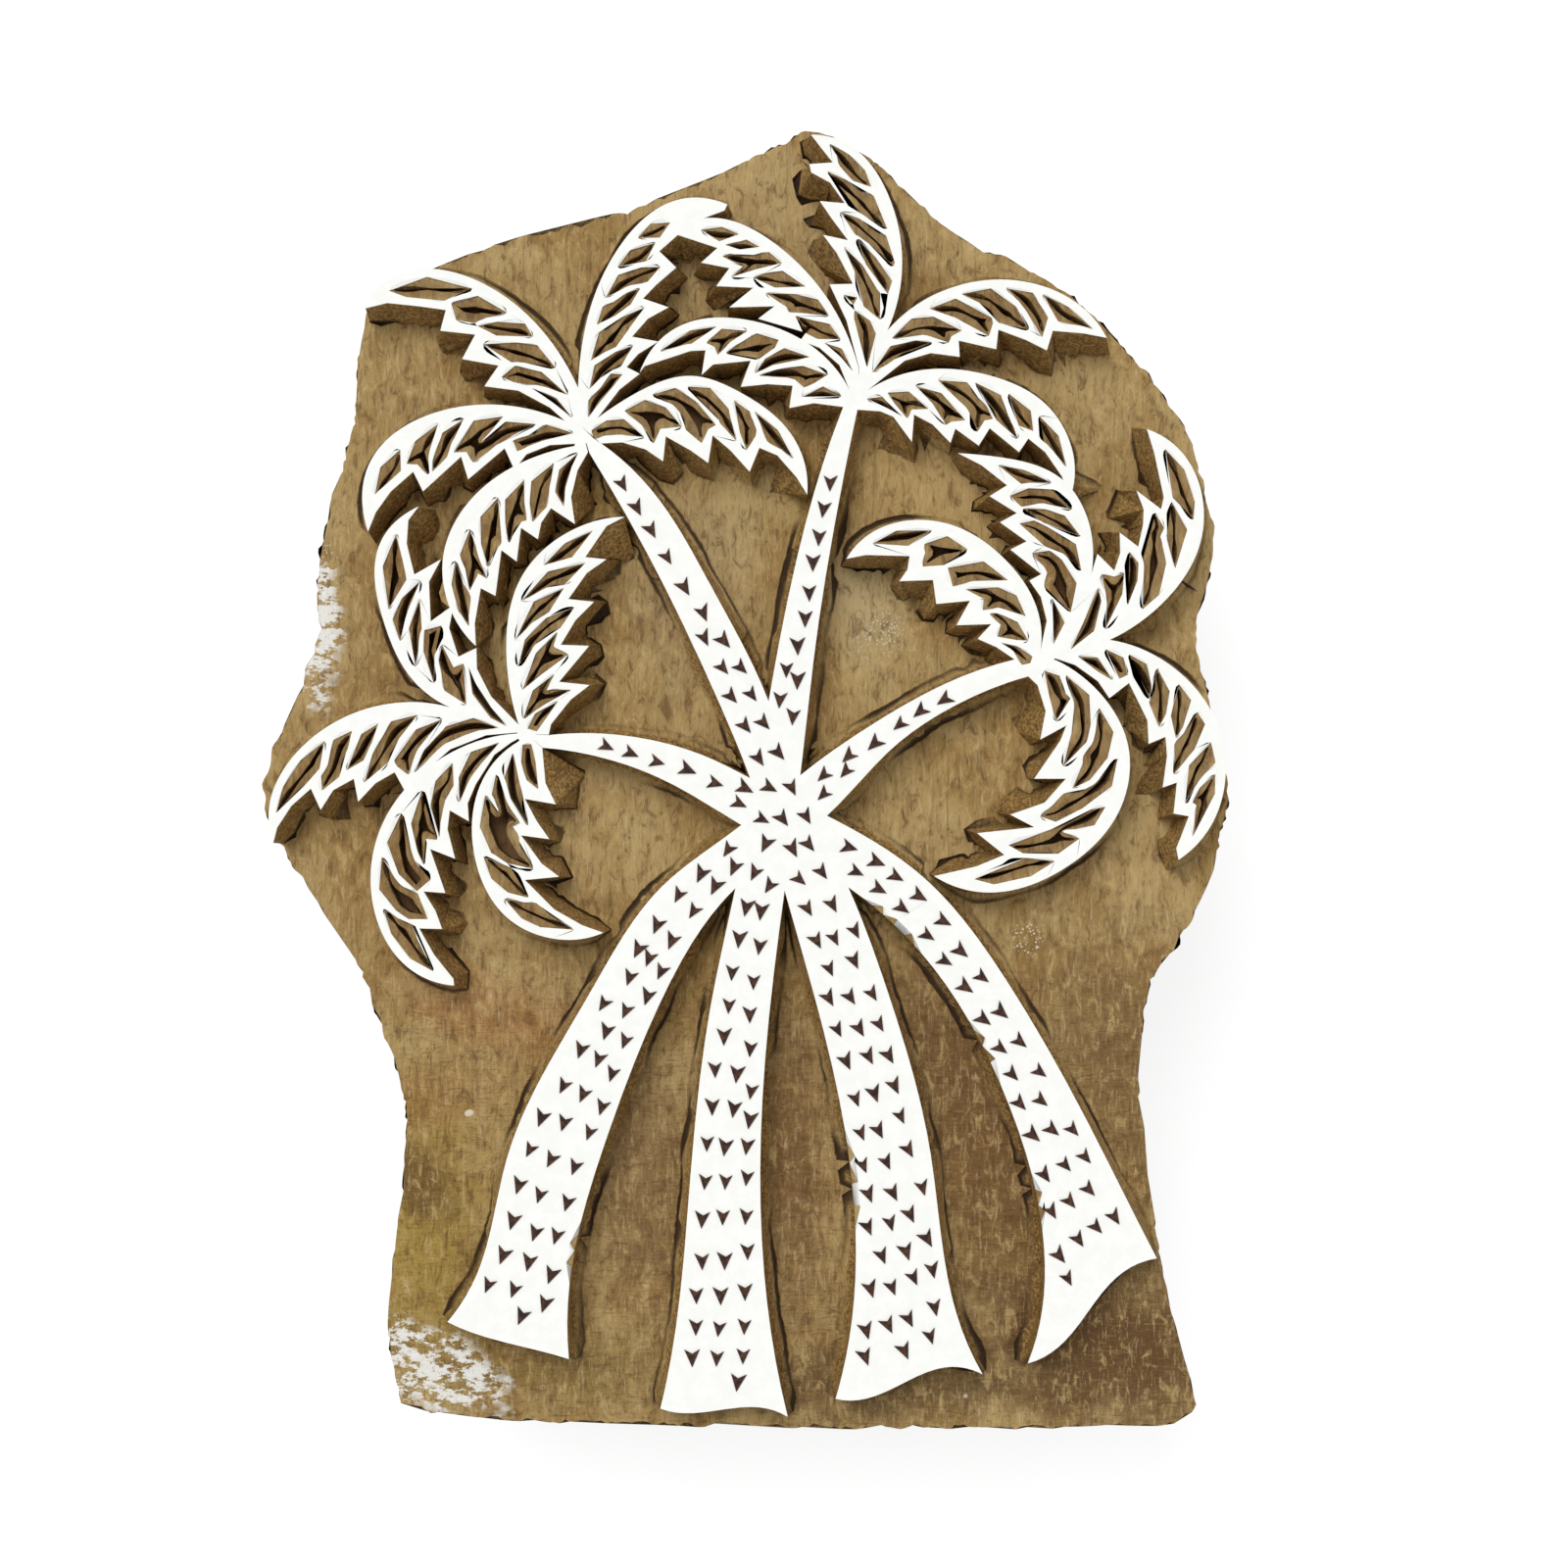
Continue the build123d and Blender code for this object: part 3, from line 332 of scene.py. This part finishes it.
# Slits run down to a line, as a knife leaves them when it cuts from both sides.
slit_floor = wood_top - 0.004
floors = [f for f in block.faces if all(level(v, slit_floor) for v in f.verts)]
floor_verts = {v for f in floors for v in f.verts}
drawn = {}
for vert in floor_verts:
    walls = [f.normal.copy() for f in vert.link_faces if abs(f.normal.z) < 0.3]
    side = sum(walls, Vector())
    side.z = 0
    if side.length < 1e-6:
        continue
    side.normalize()
    hit = still.ray_cast(vert.co + side * 3e-5 + Vector((0, 0, 0.001)), side, 0.02)[3] or 0.001
    drawn[vert] = side * min(0.42 * hit, 0.0011)
for vert, step in drawn.items():
    vert.co += step
    vert[slit_depth] = 1.0
for vert in floor_verts:
    for brim in (e.other_vert(vert) for e in vert.link_edges):
        if level(brim, wood_top):
            brim[slit_depth] = 0.5



def slit_wall(face):
    """A wall that goes down to a slit's floor, not to the ground."""
    if abs(face.normal.z) > 0.5:
        return False
    start = face.calc_center_median() + face.normal * 3e-5
    start.z = wood_top - 0.002
    below = still.ray_cast(start, (0, 0, -1))[0]
    return below is not None and below.z > slit_floor - 1e-4


def widened(bm):
    """Cuts the slits wider at their mouths, so that only a thin rib is left between two."""
    bm.normal_update()
    walls = {f for f in bm.faces if min(v.co.z for v in f.verts) > slit_floor - 5e-5 and slit_wall(f)}

    def at_mouth(edge):
        ends_level = abs(edge.verts[0].co.z - edge.verts[1].co.z) < 1e-6 and edge.verts[0].co.z > wood_top - 1e-5
        return ends_level and len(edge.link_faces) == 2 and sum(f in walls for f in edge.link_faces) == 1

    corners = {v for e in bm.edges if at_mouth(e) for v in e.verts}
    ways = {v: [(e.other_vert(v).co - v.co).normalized() for e in v.link_edges if at_mouth(e)] for v in corners}
    sharp = {v for v in corners if len(ways[v]) != 2 or ways[v][0].dot(ways[v][1]) > 0.15}
    while True:
        long = [e for e in bm.edges if e.calc_length() > 0.0011 and at_mouth(e)]
        if not long:
            break
        sides = [f for e in long for f in e.link_faces if f in walls]
        made = bmesh.ops.subdivide_edges(bm, edges=long, cuts=1)
        split = {f for g in made["geom"] if isinstance(g, bmesh.types.BMVert) for f in g.link_faces}
        for face in split:
            face.normal_update()
            if abs(face.normal.z) < 0.5 and slit_wall(face):
                walls.add(face)
    rims = {}
    for edge in (e for e in bm.edges if at_mouth(e)):
        for vert in edge.verts:
            rims.setdefault(vert, []).append(edge)
    moves = {}
    for vert, edges in rims.items():
        normals = [f.normal for e in edges for f in e.link_faces if f in walls]
        out = -sum(normals, Vector())
        out.z = 0
        if out.length < 1e-6:
            continue
        out.normalize()
        inner = Vector((vert.co.x, vert.co.y, wood_top - 0.0012))
        far_side, facing, index, rib = still.ray_cast(inner + out * 3e-5, out, 0.02)
        if far_side is None:
            continue
        below = still.ray_cast(far_side + out * 5e-5, (0, 0, -1))[0]
        outermost = below is None or below.z < slit_floor - 1e-4
        step = min(0.0011, rib - 0.0014) if outermost else min(0.0006, (rib - 0.001) / 2)
        moves[vert] = out * max(0.0, step)
    for vert, step in moves.items():
        vert.co += step
    for again in range(2):
        eased = {}
        for vert, edges in rims.items():
            if vert not in sharp and len(edges) == 2:
                eased[vert] = vert.co * 0.5 + sum((e.other_vert(vert).co * 0.25 for e in edges), Vector())
        for vert, place in eased.items():
            vert.co = place


bmesh.ops.recalc_face_normals(block, faces=block.faces)

wood, wood_shader, paint = finish_named("carved_block_wood")
fibres = cloud(paint, stretched(paint, 0.9, 0.05, 0.9), 4, 0.66, 1.0, 0.5)
pores = cloud(paint, stretched(paint, 2.2, 0.3, 2.2), 4, 0.66)
blotches = cloud(paint, stretched(paint, 0.055, 0.045, 0.055, (2, 5, 0)), 4, 0.6, 1.0, 0.8)
mottle = cloud(paint, stretched(paint, 0.5, 0.24, 0.5, (3, 1, 0)), 5, 0.72, 1.0, 0.8)
rubbing = cloud(paint, stretched(paint, 0.28, 1.3, 1.2, (0, 4, 0), 0.12), 4, 0.66, 1.0, 1.6)
crumbs = cloud(paint, stretched(paint, 1.5, 1.5, 1.5), 4, 0.7)
colour = blended(paint, blotches.rise(0.36, 0.64), tone(156, 125, 73), tone(180, 153, 102))
regions = (
    (-60, -84, 19, 40, 8, tone(160, 133, 60), 0.9),
    (-61, -75, 9, 14, 35, tone(100, 72, 38), 0.75),
    (-50, -92, 6, 14, -25, tone(110, 82, 40), 0.6),
    (-22, -70, 16, 50, 14, tone(134, 106, 68), 0.85),
    (8, -72, 10, 48, 4, tone(124, 92, 56), 0.9),
    (43, -66, 17, 54, 18, tone(118, 86, 50), 0.95),
    (74, -55, 24, 48, 20, tone(126, 97, 58), 0.9),
    (68, -106, 44, 24, 0, tone(92, 63, 34), 0.95),
    (26, -114, 50, 10, 0, tone(106, 82, 48), 0.85),
    (-34, -110, 34, 12, 0, tone(126, 101, 50), 0.75),
    (-48, -44, 26, 10, -20, tone(160, 106, 62), 0.5),
    (-60, -60, 20, 8, 10, tone(146, 100, 54), 0.45),
    (-64, 30, 16, 60, 0, tone(150, 118, 68), 0.6),
    (4, 98, 26, 20, 0, tone(182, 155, 108), 0.6),
    (36, 52, 24, 28, 0, tone(186, 156, 102), 0.75),
    (22, 34, 12, 16, 0, tone(182, 166, 128), 0.5),
    (-10, 34, 16, 26, 0, tone(164, 141, 102), 0.7),
)
for x, y, wide, high, turn, shade, share in regions:
    colour = blended(paint, spot(paint, x, y, wide, high, turn, 0.8, 1.1) * share, colour, shade)
colour = blended(paint, mottle.rise(0.50, 0.34) * 0.7, colour, tone(104, 76, 40))
colour = blended(paint, mottle.rise(0.51, 0.66) * 0.75, colour, tone(192, 164, 110))
colour = blended(paint, fibres.rise(0.44, 0.30) * 0.3, colour, tone(96, 70, 38))
colour = blended(paint, pores.rise(0.55, 0.70) * 0.55, colour, tone(200, 180, 136))
colour = blended(paint, pores.rise(0.45, 0.30) * 0.4, colour, tone(80, 55, 28))
low_ground = paint.node("ShaderNodeSeparateXYZ", {}, {0: stretched(paint, 1, 1, 1)}, 1).rise(-15.0, -50.0)
colour = blended(paint, rubbing.rise(0.52, 0.66) * low_ground * 0.42, colour, tone(84, 57, 30))
colour = blended(paint, rubbing.rise(0.46, 0.34) * low_ground * 0.3, colour, tone(178, 146, 88))
facing = paint.node("ShaderNodeNewGeometry", output=1)
facing_up = paint.node("ShaderNodeSeparateXYZ", {}, {0: facing}, 2)
steep = facing_up.rise(0.985, 0.6)
height = paint.node("ShaderNodeSeparateXYZ", {}, {0: stretched(paint, 1, 1, 1)}, 2)
wall_colour = blended(paint, crumbs.rise(0.42, 0.62), tone(122, 86, 46), tone(196, 158, 88))
wall_colour = blended(paint, crumbs.rise(0.38, 0.32) * 0.8, wall_colour, tone(60, 38, 20))
sawn = height.rise(52.4, 51.4) * facing_up.rise(0.8, 0.3)
colour = blended(paint, steep * (0.8 - sawn * 0.7), colour, wall_colour)
colour = blended(paint, sawn * fibres.rise(0.56, 0.40) * 0.7, colour, tone(92, 64, 34))
# Painted shade: a near-black line along the stop cut, in the crease at the foot of each wall.
foot_crease_shade = paint.node("ShaderNodeAttribute", {"attribute_name": "stop_cut"}, output=2)
foot_crease_shade = foot_crease_shade.rise(0.2, 0.75) * height.rise(52.7, 52.0)
colour = blended(paint, foot_crease_shade * 0.92, colour, tone(46, 27, 14))
# Painted shade: the slits' walls and floors darken towards the bottom.
slit_shade = paint.node("ShaderNodeAttribute", {"attribute_name": "slit_depth"}, output=2)
colour = blended(paint, slit_shade.rise(0.0, 0.9) * 0.8, colour, tone(90, 58, 36))
# Painted highlight: near-white blotches of glare on the left edge and the lower left corner, fading down the
# side.
glare_blotches = cloud(paint, stretched(paint, 0.3, 0.55, 0.3, (7, 2, 0), 0.5), 5, 0.75).rise(0.47, 0.52)
white_edge_glare = spot(paint, -82, 32, 7, 22, 6, 0.4, 1.0) + spot(paint, -60, -110, 20, 8, -22, 0.4, 1.2)
colour = blended(paint, (white_edge_glare * glare_blotches * height.rise(40, 51)).clip() * 0.92, colour, tone(240, 239, 233))
dots = paint.node("ShaderNodeTexVoronoi", {}, {"Vector": stretched(paint, 1.6, 1.6, 0.2), "Scale": 1.0})
sprinkle = spot(paint, 52.5, -30.5, 3.2, 3.6, 20, 0.3, 0.8) + spot(paint, 25, 27, 7, 9, 0, 0.9, 1.4) * 0.7
speckle = (sprinkle * dots.rise(0.42, 0.2)).clip()
specks = spot(paint, -52, -62.8, 1.0, 0.7, 20, 0.3) + spot(paint, 41, -115.8, 0.6, 0.6) + spot(paint, 1.8, 78.8, 0.6, 0.6)
colour = blended(paint, (speckle + specks).clip() * 0.85, colour, tone(226, 217, 194))
crack = spot(paint, 82.6, 36, 2.6, 0.35, -30, 0.6, 0.4) + spot(paint, -63, -2.7, 4, 0.3, 4, 0.6, 0.4)
colour = blended(paint, crack.clip(), colour, tone(36, 22, 12))
colour.into(wood_shader, "Base Color")
(0.74 + (mottle - 0.5) * 0.2 - steep * 0.05).into(wood_shader, "Roughness")
wood_shader.inputs["Specular IOR Level"].default_value = 0.25
relief = fibres * 0.35 + pores * 0.5 + mottle * 0.9 + rubbing * low_ground * 0.5 + crumbs * (0.35 + steep * (1.5 - sawn * 1.2))
bump = paint.node("ShaderNodeBump", {}, {"Strength": 0.9, "Distance": 0.0005, "Height": relief})
bump.into(wood_shader, "Normal")

block_piece = whole(block, "carved_block", wood, "block_body")

# White coat on the trunks
# A thin coat of chalk white, rubbed over the tops of the relief. It stops where the small
# arrow-shaped notches of the bark are cut through it into the wood, each with three chisel pokes.


def coat_of(node):
    """A copy of one sheet of the coat."""
    sheet = bmesh.new()
    sheet.from_mesh(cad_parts[node].data)
    bmesh.ops.remove_doubles(sheet, verts=sheet.verts, dist=2e-6)
    return sheet


coat = coat_of("printing_face_trunks")

chalk, chalk_shader, paint = finish_named("chalk_white_coat")
mottle = cloud(paint, stretched(paint, 0.35, 0.35, 0.35), 3, 0.6)
brushed = cloud(paint, stretched(paint, 2.2, 0.25, 2.2), 3, 0.6)
rubbed = cloud(paint, stretched(paint, 0.9, 0.9, 0.9, (5, 0, 0)), 4, 0.7)
white = blended(paint, mottle.rise(0.4, 0.6), tone(249, 249, 246), tone(245, 246, 241))
white = blended(paint, rubbed.rise(0.70, 0.78) * 0.5, white, tone(222, 214, 196))
white.into(chalk_shader, "Base Color")
(0.82 + (mottle - 0.5) * 0.15).into(chalk_shader, "Roughness")
chalk_shader.inputs["Specular IOR Level"].default_value = 0.2
grain = paint.node("ShaderNodeBump", {}, {"Strength": 0.35, "Distance": 0.00008, "Height": brushed + mottle})
grain.into(chalk_shader, "Normal")

# The notches' cut wood, painted a near-black brown as the shade inside the pits.
shaded_notch_wood, cut_shader, paint = finish_named("notch_wood_with_painted_shade")
bark = cloud(paint, stretched(paint, 1.2, 1.2, 1.2), 3, 0.65)
brown = blended(paint, bark.rise(0.38, 0.66), tone(40, 23, 22), tone(84, 56, 40))
brown.into(cut_shader, "Base Color")
(0.7 + (bark - 0.5) * 0.3).into(cut_shader, "Roughness")
cut_shader.inputs["Specular IOR Level"].default_value = 0.2

# Each line of notches: the way they point at its first and last notch, in degrees, then their places.
notches = (
    (-58, -62, (
        (-22.7, 53.9), (-20, 49.6), (-17.3, 45.5), (-14.4, 40.5), (-11.2, 35), (-7.9, 30.2), (-7.7, 25.6),
    )),
    (-45, -55, (
        (-4, 25.2), (-4.2, 20.2), (-0.9, 20.2), (-2.7, 14.9), (1.1, 15.3), (3.3, 10.1), (-0.1, 9.5), (6, 4.6),
        (2.3, 3.5),
    )),
    (-93, -92, (
        (15.4, 54.1), (14.2, 49.3), (13.5, 44.1), (12.3, 39.5), (11.6, 33.9), (10.9, 29.2), (9.5, 24.2),
        (7.4, 19.8), (9.4, 17.9), (6.2, 14.3), (8.7, 11.2),
    )),
    (-20, -25, (
        (-25.6, 5.7), (-21.1, 4.5), (-16.3, 2.9), (-10.7, 1.4), (-5.6, -1), (-0.2, -2), (-1.2, -4.7),
        (4.3, -1.8), (3, -7.6),
    )),
    (218, 228, (
        (36.4, 14.4), (32.0, 12.2), (28.2, 9.8), (23.6, 6.3), (18.9, 3.9), (18.4, 1.1), (14.3, 0.4),
        (14.3, -3.1),
    )),
    (-62, -48, (
        (8.5, -1.8), (6.8, -7.5), (11.1, -7.1), (8.5, -13.1), (11.6, -12.2), (14, -17.3), (9.9, -18.6),
    )),
    (-25, -30, (
        (19, -12.7), (20.3, -17.3), (24.0, -15.5), (27.6, -18.1), (24.4, -20.5),
    )),
    (-120, -108, (
        (-3.3, -13.2), (3.6, -12.1), (-2.1, -16.5), (1.7, -17.5), (4.4, -19.9), (-8.2, -17.7), (-5.7, -19.9),
        (-12.3, -21.6), (-9.6, -24.5), (-16.3, -27.1), (-13.5, -30), (-19.8, -31.5), (-17.7, -33.2),
        (-15.6, -35.6), (-21.3, -36.7), (-18, -40.2), (-26.2, -41.5), (-22.1, -42.8), (-25.6, -46.6),
        (-22.1, -48.4), (-30.3, -50), (-27.1, -51.7), (-24.5, -54.4), (-33.5, -56.6), (-29.8, -58.2),
        (-26.4, -60.5), (-37.5, -62.5), (-33.4, -63.4), (-28.7, -65.2), (-39.7, -68.3), (-35.8, -70.1),
        (-31.4, -71.5), (-41.6, -74.9), (-37.8, -76.7), (-32.8, -78.1), (-42.8, -81.4), (-38.7, -83.6),
        (-34.8, -84.2), (-44.6, -87.7), (-39.8, -89), (-35.8, -91.3), (-47.3, -93.2), (-42.5, -94.1),
        (-37, -96.6), (-41.2, -98.9),
    )),
    (-95, -92, (
        (0, -23.8), (2.8, -24.5), (-1.3, -29.6), (2.5, -31), (-2.5, -35.8), (1.4, -37.5), (-3.1, -41.9),
        (0.8, -43.5), (-4.1, -47.5), (0.9, -49.8), (-5.6, -53.6), (-1.7, -54.4), (0.9, -57.6), (-6.1, -60.4),
        (-2.2, -60.8), (0.7, -62.8), (-7.2, -67.2), (-3.8, -67.8), (0.1, -67.7), (-7.5, -74.2), (-3.7, -74.2),
        (0.2, -73.5), (-8, -81.1), (-4.2, -80.7), (0.1, -80.6), (-8, -88.8), (-3.8, -88.7), (0.3, -87),
        (-9.1, -95.1), (-4.6, -95.1), (-0.2, -94.4), (-9.1, -100.9), (-5, -101.2), (-0.2, -100.8),
        (-9.9, -106.5), (-5.3, -106.6), (-0.5, -106.2), (-1.6, -111),
    )),
    (-60, -72, (
        (20, -28.2), (11.4, -24), (15.9, -23.3), (13.1, -29.9), (16.3, -29.5), (15.4, -35.1), (19.9, -33.6),
        (15.2, -40.5), (19.2, -40.3), (23.2, -39.7), (16.8, -46.3), (20.8, -46.1), (24.5, -45.3), (18.4, -52.1),
        (22.5, -51.2), (26.3, -51), (20.2, -59), (23.6, -58), (27.3, -56.6), (21.1, -65.3), (24.4, -64.8),
        (28.4, -62.2), (21.6, -71.2), (25.8, -70.6), (29.9, -68.3), (22.5, -76.5), (27.1, -76.2), (32.4, -75.3),
        (22.5, -82.5), (26.5, -81.8), (30.2, -80.2), (25, -87.8), (29.5, -87), (33.4, -84.6), (22.8, -93.9),
        (26.9, -93.6), (30.8, -91.8), (34.2, -90.4), (22.1, -101.5), (26.2, -100.5), (30, -99.4), (34.7, -97.3),
        (33.9, -102.6), (22, -106.3), (29.2, -105.2),
    )),
    (-33, -55, (
        (31.8, -21.8), (28.7, -23.9), (36.3, -26.3), (33.4, -28.9), (39.5, -31.8), (36.6, -33.6), (43.4, -36.6),
        (40.3, -38.5), (46.8, -43.1), (43.7, -44.3), (50.3, -48.5), (46.8, -49.6), (54, -54), (48.9, -54.5),
        (54.2, -59.3), (50.3, -59.8), (60.1, -64.6), (56.3, -64.6), (52.7, -65.6), (62.4, -69.6), (58.7, -71.1),
        (54.8, -73), (63, -75.6), (59.5, -77.8), (56.1, -79.7), (67.7, -80.7), (64.4, -82.5), (61.1, -84.8),
        (57.5, -87.8), (59.1, -92),
    )),
)
pokes = bmesh.new()
dice = random.Random(7)
for first, last, places in notches:
    for number, (x, y) in enumerate(places):
        share = number / (len(places) - 1)
        heading = math.radians(first + (last - first) * share + dice.uniform(-6, 6))
        size = dice.uniform(0.92, 1.1)
        lop = dice.uniform(-0.2, 0.2)
        outline = [(1.65, 0), (-1.45, 1.35 + lop), (-0.7, 0.1), (-1.45, -1.35 + lop)]
        top = [pokes.verts.new((a * size, b * size, 0)) for a, b in outline]
        face = pokes.faces.new(top)
        down = bmesh.ops.extrude_face_region(pokes, geom=[face])["geom"]
        point = [v for v in down if isinstance(v, bmesh.types.BMVert)]
        bmesh.ops.translate(pokes, verts=point, vec=(0, 0, -2.1))
        bmesh.ops.scale(pokes, verts=point, vec=(0.28, 0.28, 1), space=Matrix.Translation((-0.35, 0, 0)))
        place = Matrix.Translation((x / 1e3, y / 1e3, coat_top + 0.0002))
        turn = Matrix.Rotation(heading, 4, "Z") @ Matrix.Scale(0.001, 4)
        bmesh.ops.transform(pokes, matrix=place @ turn, verts=top + point)
bmesh.ops.recalc_face_normals(pokes, faces=pokes.faces)

def as_cutter(bm, name, material):
    """An object that is taken away from other pieces, then thrown away."""
    mesh = bpy.data.meshes.new(name)
    bm.to_mesh(mesh)
    bm.free()
    mesh.materials.append(material)
    tool = bpy.data.objects.new(name, mesh)
    bpy.context.scene.collection.objects.link(tool)
    return tool


def carved(piece, tools):
    """Cuts these shapes out of a piece, each leaving its own wood showing."""
    for tool in tools:
        cut = piece.modifiers.new("cut", "BOOLEAN")
        cut.operation = "DIFFERENCE"
        cut.solver = "EXACT"
        cut.object = tool
        cut.material_mode = "TRANSFER"
    bpy.context.view_layer.update()
    shaped = bpy.data.meshes.new_from_object(piece.evaluated_get(bpy.context.evaluated_depsgraph_get()))
    piece.modifiers.clear()
    cut_piece = bmesh.new()
    cut_piece.from_mesh(shaped)
    widened(cut_piece)
    cut_piece.to_mesh(shaped)
    cut_piece.free()
    old = piece.data
    piece.data = shaped
    bpy.data.meshes.remove(old)


notch_tool = as_cutter(pokes, "notch_tool", shaded_notch_wood)
trunk_coat = whole(coat, "trunk_coat", chalk, "printing_face_trunks")
carved(trunk_coat, (notch_tool,))
carved(block_piece, (notch_tool,))

# White coat on the four crowns
# The same chalk white on the leaves: one thin sheet to each crown, with every slit left bare.
for crown in ("upper_left", "upper_right", "left", "right"):
    node = "printing_face_crown_" + crown
    leaves = coat_of(node)
    widened(leaves)
    whole(leaves, "leaf_coat_" + crown, chalk, node)
bpy.data.objects.remove(notch_tool)

# Handle
# A bar of darker hardwood across the back, planed and then worn smooth and a little shiny by
# the hand, with its grain along its length.
worn, worn_shader, paint = finish_named("worn_handle_wood")
rings = cloud(paint, stretched(paint, 0.5, 0.02, 0.5), 4, 0.6, 1.0, 0.6)
fibre = cloud(paint, stretched(paint, 3.0, 0.12, 3.0), 3, 0.6)
handled = cloud(paint, stretched(paint, 0.05, 0.03, 0.05), 3, 0.6)
brown = blended(paint, rings.rise(0.35, 0.65), tone(96, 64, 38), tone(138, 100, 62))
brown = blended(paint, fibre.rise(0.45, 0.32) * 0.6, brown, tone(58, 36, 20))
brown = blended(paint, handled.rise(0.45, 0.7) * 0.5, brown, tone(84, 54, 32))
brown.into(worn_shader, "Base Color")
(0.46 + (handled - 0.5) * 0.3).into(worn_shader, "Roughness")
scratches = paint.node("ShaderNodeBump", {}, {"Strength": 0.4, "Distance": 0.0002, "Height": rings + fibre * 0.5})
scratches.into(worn_shader, "Normal")
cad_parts["handle"].material_slots[0].material = worn

# Handle screws
# Two slotted countersunk wood screws of plain steel, dulled, with patches of rust.
steel, steel_shader, paint = finish_named("dull_screw_steel")
stain = cloud(paint, stretched(paint, 0.8, 0.8, 0.8), 4, 0.65)
metal = blended(paint, stain.rise(0.5, 0.68) * 0.7, tone(150, 147, 140), tone(104, 72, 48))
metal.into(steel_shader, "Base Color")
stain.rise(0.4, 0.7, 0.32, 0.7).into(steel_shader, "Roughness")
(1 - stain.rise(0.5, 0.7) * 0.6).into(steel_shader, "Metallic")
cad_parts["handle_screws"].material_slots[0].material = steel

# Floor
# A plain white sheet under the block, white in the picture wherever no shadow falls on it.
sheet = bmesh.new()
bmesh.ops.create_grid(sheet, x_segments=1, y_segments=1, size=3)
sheet_mesh = bpy.data.meshes.new("floor")
sheet.to_mesh(sheet_mesh)
sheet.free()
floor = bpy.data.objects.new("floor", sheet_mesh)
floor.location.z = -0.0002
bpy.context.scene.collection.objects.link(floor)
pale, pale_shader, paint = finish_named("pale_floor")
pale_shader.inputs["Base Color"].default_value = (0.28, 0.28, 0.28, 1)
pale_shader.inputs["Roughness"].default_value = 1.0
pale_shader.inputs["Specular IOR Level"].default_value = 0.0
pale_shader.inputs["Emission Color"].default_value = (1, 1, 1, 1)
seen = paint.node("ShaderNodeLightPath", output=0)
shine = paint.node("ShaderNodeLightPath", output=3)
glow = paint.node("ShaderNodeEmission", {}, {"Color": (1, 1, 1, 1), "Strength": (seen + shine).clip() * 0.8})
joined = pale.node_tree.nodes.new("ShaderNodeAddShader")
pale.node_tree.links.new(pale_shader.outputs[0], joined.inputs[0])
pale.node_tree.links.new(glow.socket, joined.inputs[1])
pale.node_tree.links.new(joined.outputs[0], pale.node_tree.nodes["Material Output"].inputs["Surface"])
sheet_mesh.materials.append(pale)

# Light
# A broad soft lamp from the upper left, and an even white surround.
lamp = bpy.data.objects.new("key", bpy.data.lights.new("key", "SUN"))
lamp.data.energy = 1.7
lamp.data.angle = math.radians(30)
lamp.rotation_euler = Vector((0.42, -0.74, -1.3)).to_track_quat("-Z", "Y").to_euler()
bpy.context.scene.collection.objects.link(lamp)
world = bpy.data.worlds.new("surround")
bpy.context.scene.world = world
world.use_nodes = True
air = world.node_tree
paint = Paint(air)
paths = [paint.node("ShaderNodeLightPath", output=number) for number in (0, 3, 6)]
strength = (paths[0] + paths[1] + paths[2]).clip().rise(0, 1, 0.6, 1.0)
white_air = air.nodes["Background"]
white_air.inputs["Color"].default_value = (1, 1, 1, 1)
strength.into(white_air, "Strength")
bpy.context.scene.view_settings.view_transform = "Standard"
